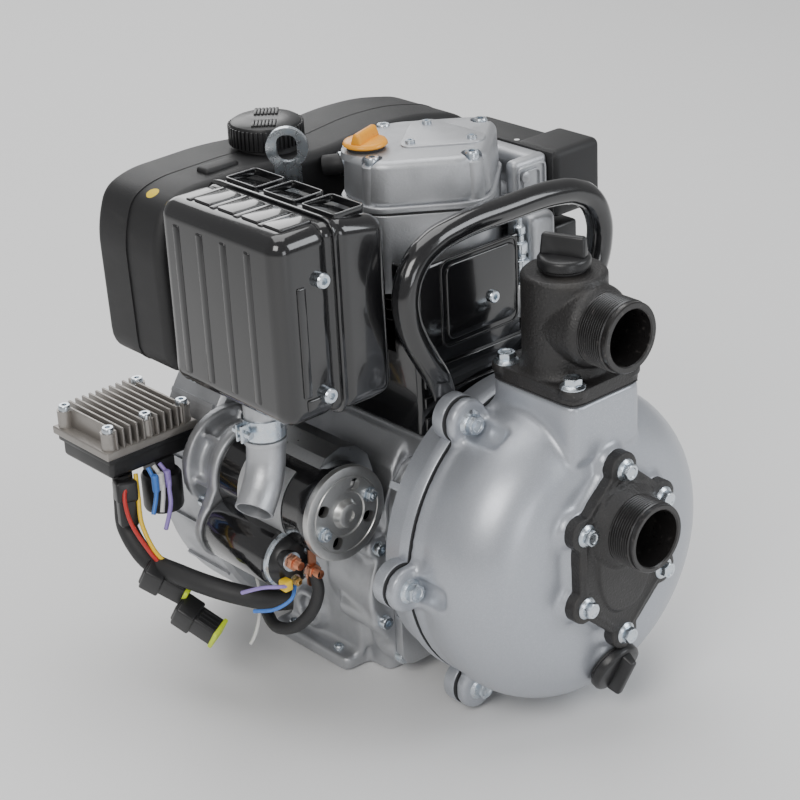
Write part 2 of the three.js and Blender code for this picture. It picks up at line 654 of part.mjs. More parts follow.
// ---------------------------------------------------------------- carry handle
function carryHandle() {
  const [footX, footZ] = lugPlaces[0];
  const footFront = ADAPTOR_RING_BACK + GAP;
  const side = [
    [74, footZ + 30], [85, 316], [100, 345], [109, 370], [109, 389], [99, 410], [82, 421], [64, 426]];
  const path = [
    ...side.map(([x, z]) => [-x, HANDLE_Y, z]), [0, HANDLE_Y, HANDLE_TOP],
    ...side.reverse().map(([x, z]) => [x, HANDLE_Y, z])];
  const tube = bar(path, HANDLE_TUBE, 30, 8);
  const feet = [-1, 1].flatMap((turn) => {
    const outline = roundedOutline([[footX - 13, footZ - 4], [footX - 4, footZ - 9],
      [footX + 11, footZ + 2],
      [87, footZ + 44], [63, footZ + 44], [footX - 13, footZ + 8]].map(([x, z]) => [turn * x, z]), 5, 2);
    const plate = raisedY(turn > 0 ? outline : outline.reverse(), footFront, footFront + HANDLE_FOOT);
    return cut(plate, rodY(LUG_BOLT + BOLT_CLEARANCE, footFront - 1, footFront + HANDLE_FOOT + 1,
      [turn * footX, footZ], 12));
  });
  return join(tube, ...feet);
}

addPart("carry_handle", carryHandle(), "blackGloss");

// ---------------------------------------------------------------- impeller, volute, shaft seal
const IMPELLER_FRONT = IMPELLER_BACK - IMPELLER_WIDTH;

function impeller() {
  const back = turnedY([[SHAFT_RADIUS + GAP, IMPELLER_BACK], [IMPELLER_RADIUS, IMPELLER_BACK],
    [IMPELLER_RADIUS, IMPELLER_BACK - 3], [26, IMPELLER_BACK - 6], [20, IMPELLER_FRONT + 2],
    [SHAFT_RADIUS + GAP, IMPELLER_FRONT + 2], [SHAFT_RADIUS + GAP, IMPELLER_BACK]], 40);
  const front = turnedY([[IMPELLER_EYE + 4, IMPELLER_FRONT], [IMPELLER_EYE + 4, IMPELLER_FRONT + 8],
    [IMPELLER_RADIUS, IMPELLER_BACK - 14], [IMPELLER_RADIUS, IMPELLER_BACK - 11],
    [IMPELLER_EYE, IMPELLER_FRONT + 12],
    [IMPELLER_EYE, IMPELLER_FRONT], [IMPELLER_EYE + 4, IMPELLER_FRONT]], 40);
  const vanes = Array.from({ length: VANE_COUNT }, (_, i) => {
    const arc = Array.from({ length: 6 }, (_, k) => {
      const radius = IMPELLER_EYE + 2 + ((IMPELLER_RADIUS - IMPELLER_EYE - 4) * k) / 5;
      const angle = radians((360 / VANE_COUNT) * i + 14 * k);
      return [radius, angle];
    });
    const place = ([r, a], shift) => new THREE.Vector2((r) * Math.sin(a + shift), CRANK_HEIGHT
      + r * Math.cos(a + shift));
    const outline = [...arc.map((p) => place(p, 0)), ...arc.reverse().map((p) => place(p, 2.4 / p[0]))];
    return raisedY(outline, IMPELLER_BACK - 15, IMPELLER_BACK - 1.5);
  });
  const envelope = turnedY([[0, IMPELLER_BACK], [IMPELLER_RADIUS, IMPELLER_BACK],
    [IMPELLER_RADIUS, IMPELLER_BACK - 13],
    [IMPELLER_EYE + 1, IMPELLER_FRONT + 10], [0, IMPELLER_FRONT + 10]], 40);
  return join(back, front, ...vanes.map((vane) => vane.intersect(envelope)));
}

function volute() {
  const back = ADAPTOR_FRONT - GAP;
  const front = IMPELLER_FRONT - 8;
  const shell = turnedY([[VOLUTE_RADIUS, back], [VOLUTE_RADIUS, front + 8],
    [IMPELLER_EYE + 16, front - 4],
    [IMPELLER_EYE + 6, front - 4], [IMPELLER_EYE + 6, front + 6], [IMPELLER_EYE + 14, front + 6],
    [VOLUTE_RADIUS - VOLUTE_WALL, front + 13], [VOLUTE_RADIUS - VOLUTE_WALL, back],
    [VOLUTE_RADIUS, back]], 44);
  const throat = block([-20, 20], [front + 16, back - 8],
    [above(IMPELLER_RADIUS), above(VOLUTE_RADIUS + 5)]);
  return cut(shell, throat);
}

addPart("impeller", impeller(), "steel");
addPart("volute", volute(), "blackCast");
addPart("shaft_seal", ringY(SEAL_POCKET - GAP, SHAFT_RADIUS + GAP, ADAPTOR_FRONT, ADAPTOR_FRONT
  + 14 - GAP), "steel");

// ---------------------------------------------------------------- crankcase
const caseOutline = [[-CASE_HALF_WIDTH, BASE_THICKNESS - 1], [CASE_HALF_WIDTH, BASE_THICKNESS - 1],
  [CASE_HALF_WIDTH, 185], [62, CASE_TOP], [-62, CASE_TOP], [-CASE_HALF_WIDTH, 185]];

function crankcase() {
  const body = raisedY(roundedOutline(caseOutline, 14, 3), CASE_FRONT, CASE_BACK);
  const base = join(
    raisedZ(rectangle([-BASE_HALF_WIDTH, BASE_HALF_WIDTH], [FOOT_FRONT, BASE_BACK], 8, 2), 0,
      BASE_THICKNESS),
    block([-CASE_HALF_WIDTH + 8, CASE_HALF_WIDTH - 8], [BASE_FRONT, BASE_BACK - 10], [0, BASE_THICKNESS]),
  );
  const deck = block([-66, 66], [-60, 66], [DECK_UNDERSIDE, CASE_TOP]);
  const boss = rodY(84, CASE_BACK - 1, BLOWER_FRONT - GAP, [0, CRANK_HEIGHT], 40);
  const chamberBack = CASE_BACK - 42;
  const chamber = rodY(CRANK_CHAMBER, CASE_FRONT - 1, chamberBack, [0, CRANK_HEIGHT], 36);
  const sump = block([-CRANK_CHAMBER, CRANK_CHAMBER], [CASE_FRONT - 1, chamberBack],
    [BASE_THICKNESS + 10, CRANK_HEIGHT]);
  const neck = rodZ(SPIGOT + GAP, CRANK_HEIGHT, CASE_TOP + 1, [0, 0], 36);
  const shaftHole = rodY(REAR_SHAFT + 1, chamberBack - 1, BLOWER_FRONT, [0, CRANK_HEIGHT], 24);
  const starterRoom = rodY(STARTER_RADIUS + 4, CASE_FRONT - 1, CASE_BACK + 1, STARTER, 36);
  return cut(join(body, base, boss, deck), chamber, sump, neck, shaftHole, starterRoom);
}

function crankcaseCover() {
  const y0 = ENGINE_FACE;
  const y1 = CASE_FRONT - GAP;
  const side = CASE_HALF_WIDTH - 3;
  const top = DECK_UNDERSIDE - GAP;
  const outline = [[-side, BASE_THICKNESS], [side, BASE_THICKNESS], [side, 180], [70, top], [-70, top],
    [-side, 180]];
  const plate = raisedY(roundedOutline(outline, 16, 3), y0 + 6, y1);
  const lugsBelow = [-82, 82].map((x) => rodY(11, y0 + 6, y1, [x, 26], 16));
  const boss = rodY(ADAPTOR_HUB + 4, y0, y1, [0, CRANK_HEIGHT], 36);
  return cut(join(plate, boss, ...lugsBelow), rodY(SHAFT_RADIUS + 1, y0 - 1, y1 + 1, [0, CRANK_HEIGHT],
    24),
    rodY(CRANK_CHAMBER - 2, CASE_FRONT - 5, y1 + 1, [0, CRANK_HEIGHT], 36),
    rodY(STARTER_RADIUS + 4, y0 - 1, y1 + 1, STARTER, 36));
}

addPart("crankcase", crankcase(), "bareAluminium");
addPart("crankcase_cover", crankcaseCover(), "bareAluminium");

// ---------------------------------------------------------------- crank train at top dead centre
const throwUp = STROKE / 2;
const webInside = BIG_END_WIDTH / 2 + GAP;
const pinHeight = above(throwUp);
const gudgeonHeight = pinHeight + ROD_LENGTH;

function crankHalf(side, shaftRadius, end) {
  const web = [Math.min(side * webInside, side * (webInside + WEB_THICKNESS)),
    Math.max(side * webInside, side * (webInside + WEB_THICKNESS))];
  const shaft = [Math.min(side * (webInside + 1), end), Math.max(side * (webInside + 1), end)];
  return join(rodY(WEB_RADIUS, ...web, [0, CRANK_HEIGHT], 40),
    rodY(shaftRadius, ...shaft, [0, CRANK_HEIGHT], 24));
}

function connectingRod() {
  const half = BIG_END_WIDTH / 2 - 3;
  const bigEnd = rodY(CRANK_PIN + 10, -half, half, [0, pinHeight], 28);
  const smallEnd = rodY(17, -half, half, [0, gudgeonHeight], 20);
  const shank = block([-11, 11], [-8, 8], [pinHeight, gudgeonHeight]);
  return cut(join(bigEnd, smallEnd, shank), rodY(CRANK_PIN + GAP, -half - 1, half + 1, [0, pinHeight],
    24),
    rodY(11 + GAP, -half - 1, half + 1, [0, gudgeonHeight], 16));
}

function piston() {
  const crown = gudgeonHeight + PIN_TO_CROWN;
  const radius = BORE - GAP;
  const skirt = rodZ(radius, crown - PISTON_LENGTH, crown, [0, 0], 36);
  const hollow = rodZ(radius - 6, crown - PISTON_LENGTH - 1, crown - 12, [0, 0], 28);
  const pin = rodY(11, -radius + 2, radius - 2, [0, gudgeonHeight], 16);
  return join(cut(skirt, hollow), pin);
}

addPart("crankshaft_front", crankHalf(-1, SHAFT_RADIUS, IMPELLER_FRONT), "steel");
addPart("crankshaft_rear", crankHalf(1, REAR_SHAFT, FLYWHEEL_FRONT + 26), "steel");
addPart("crank_pin", rodY(CRANK_PIN, -webInside + GAP, webInside - GAP, [0, pinHeight], 24), "steel");
addPart("connecting_rod", connectingRod(), "steel");
addPart("piston", piston(), "bareAluminium");

// ---------------------------------------------------------------- cylinder, head and rocker cover
function cylinderBarrel() {
  const flangeTop = CASE_TOP + 14;
  const pitch = (DECK - flangeTop - 8) / FIN_COUNT;
  const fins = Array.from({ length: FIN_COUNT }, (_, i) => {
    const z = flangeTop + 6 + i * pitch;
    return [[SPIGOT + 1, z], [FIN_RADIUS, z], [FIN_RADIUS, z + 3], [SPIGOT + 1, z + 3]];
  }).flat();
  const foot = DECK_UNDERSIDE + 1;
  const profile = [[BORE, foot], [SPIGOT, foot], [SPIGOT, CASE_TOP + GAP],
    [FIN_RADIUS - 4, CASE_TOP + GAP], [FIN_RADIUS - 4, flangeTop], [SPIGOT + 1, flangeTop], ...fins,
    [FIN_RADIUS - 4, DECK - 6], [FIN_RADIUS - 4, DECK - GAP], [BORE, DECK - GAP],
    [BORE, foot]];
  return turnedZ(profile, 36);
}

// A rounded diamond with a corner bolt at each end, wider round the oil filler.
function headOutline(grow = 0) {
  const [a, b] = HEAD_HALF.map((half) => half + grow);
  const c = HEAD_CORNER;
  const [x, y] = OIL_CAP_PLACE;
  return roundedOutline([[-a, -c - 4], [-c, -b], [c, -b], [a, -c + 3], [a, c + 3], [c, b], [-c, b],
    [x - 4, y + OIL_CAP + 5 + grow], [x - OIL_CAP - 3 - grow, y + 10], [-a, c]], 10, 2);
}

const HEAD_TOP = DECK + HEAD_HEIGHT;
const RIM = HEAD_TOP + GAP;

function cylinderHead() {
  const body = raisedZ(headOutline(-1), DECK, HEAD_TOP);
  const chamber = rodZ(BORE - 6, DECK - 1, DECK + 8, [0, 0], 24);
  const rockerWell = raisedZ(headOutline(-12), HEAD_TOP - 22, HEAD_TOP + 1);
  return cut(body, chamber, rockerWell);
}

function rockerCover() {
  const lower = raisedZ(headOutline(0), RIM, RIM + 6);
  const upper = raisedZ(headOutline(-3), RIM + 5, ROCKER_TOP);
  const hollow = raisedZ(headOutline(-9), RIM - 1, ROCKER_TOP - 5);
  const neck = rodZ(clearOf(OIL_NECK, 20), ROCKER_TOP - 10, ROCKER_TOP + 1, OIL_CAP_PLACE, 20);
  return cut(join(lower, upper), hollow, neck);
}

addPart("cylinder_barrel", cylinderBarrel(), "blackCast");
addPart("cylinder_head", cylinderHead(), "bareAluminium");
addPart("rocker_cover", rockerCover(), "bareAluminium");

const oilCapPlace = [...OIL_CAP_PLACE, ROCKER_TOP];
const oilCap = addPart("oil_filler_cap", screwCap(OIL_CAP, OIL_NECK, 9, 5, 8), "orange");
oilCap.position.set(...oilCapPlace);
oilCap.rotation.z = radians(20);
addPart("oil_cap_seal", capSeal(OIL_CAP, OIL_NECK), "rubber").position.set(...oilCapPlace);

// ---------------------------------------------------------------- cooling shrouds and flywheel
function cylinderCowl() {
  const back = BLOWER_FRONT - GAP;
  const outside = rectangle([-COWL_HALF, COWL_HALF], [COWL_FRONT, back]);
  const inside = rectangle([-COWL_HALF + SHEET, COWL_HALF - SHEET], [COWL_FRONT + SHEET, back + 5]);
  const shell = cut(raisedZ(outside, COWL_BOTTOM, COWL_TOP),
    raisedZ(inside, COWL_BOTTOM - 1, COWL_TOP + 1));
  const sideCut = block([-COWL_HALF - 5, COWL_HALF + 5], [-40, back + 5], [314, COWL_TOP + 5]);
  const intakeCut = block([14, COWL_HALF + 5], [COWL_FRONT - 5, back + 5], [308, COWL_TOP + 5]);
  return cut(shell, sideCut, intakeCut);
}

function blowerHousing() {
  const back = BLOWER_FRONT + BLOWER_DEPTH;
  const drum = rodY(BLOWER_RADIUS, BLOWER_FRONT, back, [0, CRANK_HEIGHT], 56);
  const inner = rodY(BLOWER_RADIUS - 4, BLOWER_FRONT + 4, back - 4, [0, CRANK_HEIGHT], 48);
  const intake = rodY(88, back - 5, back + 1, [0, CRANK_HEIGHT], 40);
  const hub = rodY(34, BLOWER_FRONT - 1, BLOWER_FRONT + 5, [0, CRANK_HEIGHT], 24);
  const outlet = block([-COWL_HALF + 4, COWL_HALF - 4], [BLOWER_FRONT - 1, BLOWER_FRONT + 5],
    [COWL_BOTTOM + 4, 296]);
  const noseHole = rodY(PINION_RADIUS + 8, BLOWER_FRONT - 1, BLOWER_FRONT + 5, STARTER, 24);
  const tankPads = [-60, 60].map((x) => block([x - 14, x + 14], [BLOWER_FRONT + 12, back - 12],
    [above(BLOWER_RADIUS) - 20, TANK_SADDLE - GAP]));
  const regulatorShelf = block([REGULATOR_X[1] - 14, -148], [160, 198],
    [REGULATOR_BOTTOM - 6, REGULATOR_BOTTOM - GAP]);
  const bottomCut = block([-BLOWER_RADIUS, BLOWER_RADIUS], [BLOWER_FRONT - 1, back + 1],
    [-BLOWER_RADIUS, BLOWER_BOTTOM]);
  return cut(join(drum, ...tankPads, regulatorShelf), inner, intake, hub, outlet, noseHole, bottomCut);
}

function flywheelFan() {
  const y0 = FLYWHEEL_FRONT;
  const wheel = turnedY([[REAR_SHAFT + GAP, y0 - 4], [34, y0 - 4], [34, y0 + 4],
    [FLYWHEEL_RADIUS - 14, y0 + 4],
    [FLYWHEEL_RADIUS - 14, y0 - 4], [FLYWHEEL_RADIUS, y0 - 4], [FLYWHEEL_RADIUS, y0 + 10], [40, y0 + 12],
    [34, y0 + 24], [REAR_SHAFT + GAP, y0 + 24], [REAR_SHAFT + GAP, y0 - 4]], 48);
  const blades = Array.from({ length: FAN_BLADES }, (_, i) => {
    const blade = block([-1.5, 1.5], [y0 + 8, y0 + 44], [62, FLYWHEEL_RADIUS - 2]);
    return blade.rotate([0, (360 / FAN_BLADES) * i, 0]).translate([0, 0, CRANK_HEIGHT]);
  });
  return join(wheel, ...blades);
}

addPart("cylinder_cowl", cylinderCowl(), "blackGloss");
addPart("blower_housing", blowerHousing(), "bareAluminium");
addPart("flywheel_fan", flywheelFan(), "blackCast");

// ---------------------------------------------------------------- starter motor
const BODY_FRONT = STARTER_FRONT + 6;

// The drive end's casting reaches down behind the solenoid and carries it.
function solenoidEar() {
  const front = SOLENOID_BACK + GAP;
  const start = new THREE.Vector2(...SOLENOID);
  const end = new THREE.Vector2(...STARTER);
  const along = end.clone().sub(start);
  const across = new THREE.Vector2(-along.y, along.x).setLength(SOLENOID_RADIUS - 3);
  const web = [start.clone().sub(across), end.clone().sub(across), end.clone().add(across),
    start.clone().add(across)];
  const plate = raisedY(web, front, front + SOLENOID_EAR);
  return join(plate, rodY(SOLENOID_RADIUS - 3, front, front + SOLENOID_EAR, SOLENOID, 28));
}

function starterMotor() {
  const noseBack = BLOWER_FRONT - GAP;
  const body = rodY(STARTER_RADIUS - 1, BODY_FRONT, STARTER_BACK, STARTER, 36);
  const drive = turnedY([[0, STARTER_BACK - 1], [STARTER_RADIUS + 2, STARTER_BACK - 1],
    [STARTER_RADIUS + 2, STARTER_BACK + 10],
    [STARTER_RADIUS - 8, noseBack - 12], [STARTER_RADIUS + 6, noseBack - 10],
    [STARTER_RADIUS + 6, noseBack], [0, noseBack]],
  32, STARTER);
  const hollow = rodY(STARTER_RADIUS - 6, BODY_FRONT - 1, STARTER_BACK - 8, STARTER, 28);
  const nose = rodY(PINION_RADIUS + 3, STARTER_BACK - 12, noseBack + 1, STARTER, 24);
  return cut(join(body, drive, solenoidEar()), hollow, nose);
}

function starterEndPlate() {
  const plate = turnedY([[0, STARTER_FRONT], [STARTER_RADIUS - 2, STARTER_FRONT],
    [STARTER_RADIUS, STARTER_FRONT + 2],
    [STARTER_RADIUS, BODY_FRONT - GAP], [0, BODY_FRONT - GAP]], 40, STARTER);
  const boss = rodY(9, STARTER_FRONT - 5, STARTER_FRONT + 1, STARTER, 20);
  const vents = [45, 135, 225, 315].map((angle) => {
    const place = [STARTER[0] + 26 * Math.cos(radians(angle + 20)), STARTER[1]
      + 26 * Math.sin(radians(angle + 20))];
    return rodY(6, STARTER_FRONT - 1, BODY_FRONT + 1, place, 14);
  });
  return cut(join(plate, boss), ...vents);
}

function starterArmature() {
  const back = BLOWER_FRONT + 8;
  return join(
    rodY(STARTER_RADIUS - 9, BODY_FRONT + 12, STARTER_BACK - 16, STARTER, 28),
    rodY(6, BODY_FRONT + GAP, back, STARTER, 14),
    rodY(PINION_RADIUS, STARTER_BACK + 12, back - 2, STARTER, 24),
  );
}

function solenoid() {
  const front = 0;
  const can = rodY(SOLENOID_RADIUS, front, SOLENOID_BACK, SOLENOID, 28);
  const cap = rodY(SOLENOID_RADIUS - 4, front - 12, front + 1, SOLENOID, 24);
  const studs = [-1, 1].map((side) => rodY(4, front - 30, front - 11,
    [SOLENOID[0] + 10 * side, SOLENOID[1] + 8 * side], 12));
  return join(can, cap, ...studs);
}

addPart("starter_motor", starterMotor(), "blackGloss");
addPart("starter_end_plate", starterEndPlate(), "machined");
addPart("starter_armature", starterArmature(), "steel");
addPart("solenoid", solenoid(), "blackPlastic");

// ---------------------------------------------------------------- fuel tank
const TANK_BACK = TANK_FRONT + TANK_DEPTH;
const fuelPlace = [...FUEL_CAP_PLACE, FUEL_SEAT];

function fuelTank() {
  const outline = roundedOutline([[-214, 298], [-150, 288], [-128, 326], [-108, TANK_SADDLE],
    [128, TANK_SADDLE],
    [148, 342], [146, 420], [120, 443], [67, 454], [20, 455], [-40, 448], [-107, 454], [-180, 452],
    [-206, 443],
    [-217, 410]], 14, 3);
  const body = raisedY(outline, TANK_FRONT, TANK_BACK);
  const neck = rodZ(25, 441, fuelPlace[2] - GAP, FUEL_CAP_PLACE, 24);
  const hollow = raisedY(roundedOutline([[-204, 312], [-158, 302], [-120, 332], [120, 332], [138, 350],
    [136, 412],
    [110, 434], [-40, 436], [-107, 442], [-180, 440], [-206, 406]], 12, 2), TANK_FRONT + 6,
    TANK_BACK - 6);
  return cut(join(body, neck), hollow, rodZ(20, 430, fuelPlace[2] + 1, FUEL_CAP_PLACE, 20));
}

function fuelCap() {
  const disc = rodZ(FUEL_CAP, 0, FUEL_CAP_HEIGHT, [0, 0], 36);
  const skirtRoom = rodZ(FUEL_CAP - 4, -1, 6, [0, 0], 28);
  const plug = rodZ(FUEL_PLUG, -8, 8, [0, 0], 20);
  return join(cut(disc, skirtRoom), plug);
}

addPart("fuel_tank", fuelTank(), "blackPlastic");
addPart("fuel_cap", fuelCap(), "blackPlastic").position.set(...fuelPlace.slice(0, 2), fuelPlace[2] + GAP);

// ---------------------------------------------------------------- air cleaner
function airCleanerBase() {
  const [y0] = CLEANER_SPAN;
  const inside = COWL_HALF + 1;
  const backEnd = TANK_FRONT - 4;
  const body = raisedX(rectangle([y0, backEnd], [312, CLEANER_TOP], 12, 3), inside, CLEANER_FACE);
  const pocket = block([inside + 5, CLEANER_FACE + 1], [y0 + 8, backEnd - 8], [372, CLEANER_TOP - 8]);
  const front = raisedY(rectangle([inside - 20, CLEANER_FACE], [340, CLEANER_TOP], 6, 2), y0, y0 + 12);
  const neck = rodX(20, HEAD_HALF[0] - 1 + GAP, inside + 1, [0, 392], 20);
  const duct = rodX(15, HEAD_HALF[0] - 5, inside + 6, [0, 392], 18);
  return cut(join(body, front, neck), pocket, duct);
}

function airCleanerCover() {
  const [y0] = CLEANER_SPAN;
  const x0 = CLEANER_FACE + GAP;
  const backEnd = TANK_FRONT - 4;
  const shell = raisedX(rectangle([y0 + 2, backEnd], [386, CLEANER_TOP - 2], 8, 3), x0, 146);
  const snout = raisedX(rectangle([y0 - 8, y0 + 42], [380, CLEANER_TOP + 1], 8, 3), x0, 158);
  const hollow = block([x0 - 1, 141], [y0 + 8, backEnd - 6], [392, CLEANER_TOP - 8]);
  return cut(join(shell, snout), hollow);
}

addPart("air_cleaner_base", airCleanerBase(), "bareAluminium");
addPart("air_cleaner_cover", airCleanerCover(), "blackPlastic");

// ---------------------------------------------------------------- silencer and exhaust pipe
function silencer() {
  const [x0, x1] = SILENCER_X;
  const outline = roundedOutline([[SILENCER_Y[0], SILENCER_Z[0]], [SILENCER_Y[1], SILENCER_Z[0]],
    [SILENCER_Y[1], SILENCER_Z[1]], [SILENCER_Y[0], SILENCER_Z[1]]], 16, 3);
  const body = raisedX(outline, x0, x1);
  const slope = raisedY([new THREE.Vector2(x1 - 40, SILENCER_Z[1] + 4),
    new THREE.Vector2(x1 + 2, SILENCER_Z[1] - 14),
    new THREE.Vector2(x1 + 2, SILENCER_Z[1] + 6)], SILENCER_Y[0] - 1, SILENCER_Y[1] + 1);
  const inner = block([x0 + 4, x1 - 4], [SILENCER_Y[0] + 4, SILENCER_Y[1] - 4],
    [SILENCER_Z[0] + 4, SILENCER_Z[1] - 22]);
  const inletStub = rodX(20, x1 - 1, -HEAD_HALF[0] + 1 - GAP, [10, 392], 20);
  const inletBore = rodX(15, x1 - 10, -HEAD_HALF[0] + 5, [10, 392], 18);
  const outlet = rodZ(PIPE_RADIUS - 2, SILENCER_Z[0] - 1, SILENCER_Z[0] + 8, PIPE_PLACE, 20);
  return cut(join(cut(body, slope), inletStub), inner, inletBore, outlet);
}

function exhaustElbow() {
  const [x, y] = PIPE_PLACE;
  const top = SILENCER_Z[0] - GAP;
  const path = [[x, y, top], [x, y, top - 20], [x, y, top - 45], [x - 4, y - 2, top - 62],
    [x - 14, y - 7, top - 78],
    [x - 28, y - 15, top - 90]];
  const pipe = bar(path, PIPE_RADIUS, 8, 12);
  const bore = bar([[x, y, top + 2], ...path.slice(1, -1), [x - 32, y - 18, top - 94]], PIPE_RADIUS - 2,
    8, 12);
  const clamp = ringZ(PIPE_RADIUS + 3, PIPE_RADIUS - 1, top - 30, top - 16, PIPE_PLACE, 24);
  return cut(join(pipe, clamp), bore);
}

addPart("silencer", silencer(), "blackGloss");
addPart("exhaust_elbow", exhaustElbow(), "bareAluminium");

// ---------------------------------------------------------------- lifting eye
function liftingEye() {
  const thickness = 6;
  const ring = cut(
    join(rodY(17.5, -thickness / 2, thickness / 2, [0, 0], 28),
      block([-11, 11], [-thickness / 2, thickness / 2], [-60, -10])),
    rodY(8.5, -10, 10, [0, 3], 20), rodY(8.5, -10, 10, [0, -3], 20),
  ).rotate([0, 0, -45]).translate([-92, 70, 469]);
  const arm = cut(block([-98, -40], [40, 76], [402, 420]), raisedZ(headOutline(GAP - 1), 400, 424));
  return join(arm, ring);
}

addPart("lifting_eye", liftingEye(), "zinc");

// ---------------------------------------------------------------- regulator and its loom
function regulator() {
  const [x0, x1] = REGULATOR_X;
  const [y0, y1] = REGULATOR_Y;
  const box = block([x0 + 6, x1], [y0 + 4, y1 - 4], [REGULATOR_BOTTOM, REGULATOR_TOP - 24]);
  const plate = block([x0, x1], [y0, y1], [REGULATOR_TOP - 25, REGULATOR_TOP - 18]);
  const fins = Array.from({ length: 11 }, (_, i) => {
    const x = x0 + 2 + ((x1 - x0 - 6) * i) / 10;
    return block([x, x + 2], [y0, y1], [REGULATOR_TOP - 19, REGULATOR_TOP]);
  });
  return join(box, plate, ...fins);
}

function harnessLoom() {
  return bar([[-234, 151, REGULATOR_BOTTOM - GAP], [-234, 151, 184], [-235, 151, 168], [-238, 145, 144],
    [-238, 118, 124], [-231, 82, 120],
    [-220, 50, 116], [-206, 28, 111], [-190, 12, 106], [-174, 2, 104]], LOOM_RADIUS, 16, 8);
}

addPart("regulator", regulator(), "steel");
addPart("harness_loom", harnessLoom(), "rubber");

export default pumpSet;
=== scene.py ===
"""Builds the looks of a portable fire pump: its castings, threads, covers, wiring and finishes."""

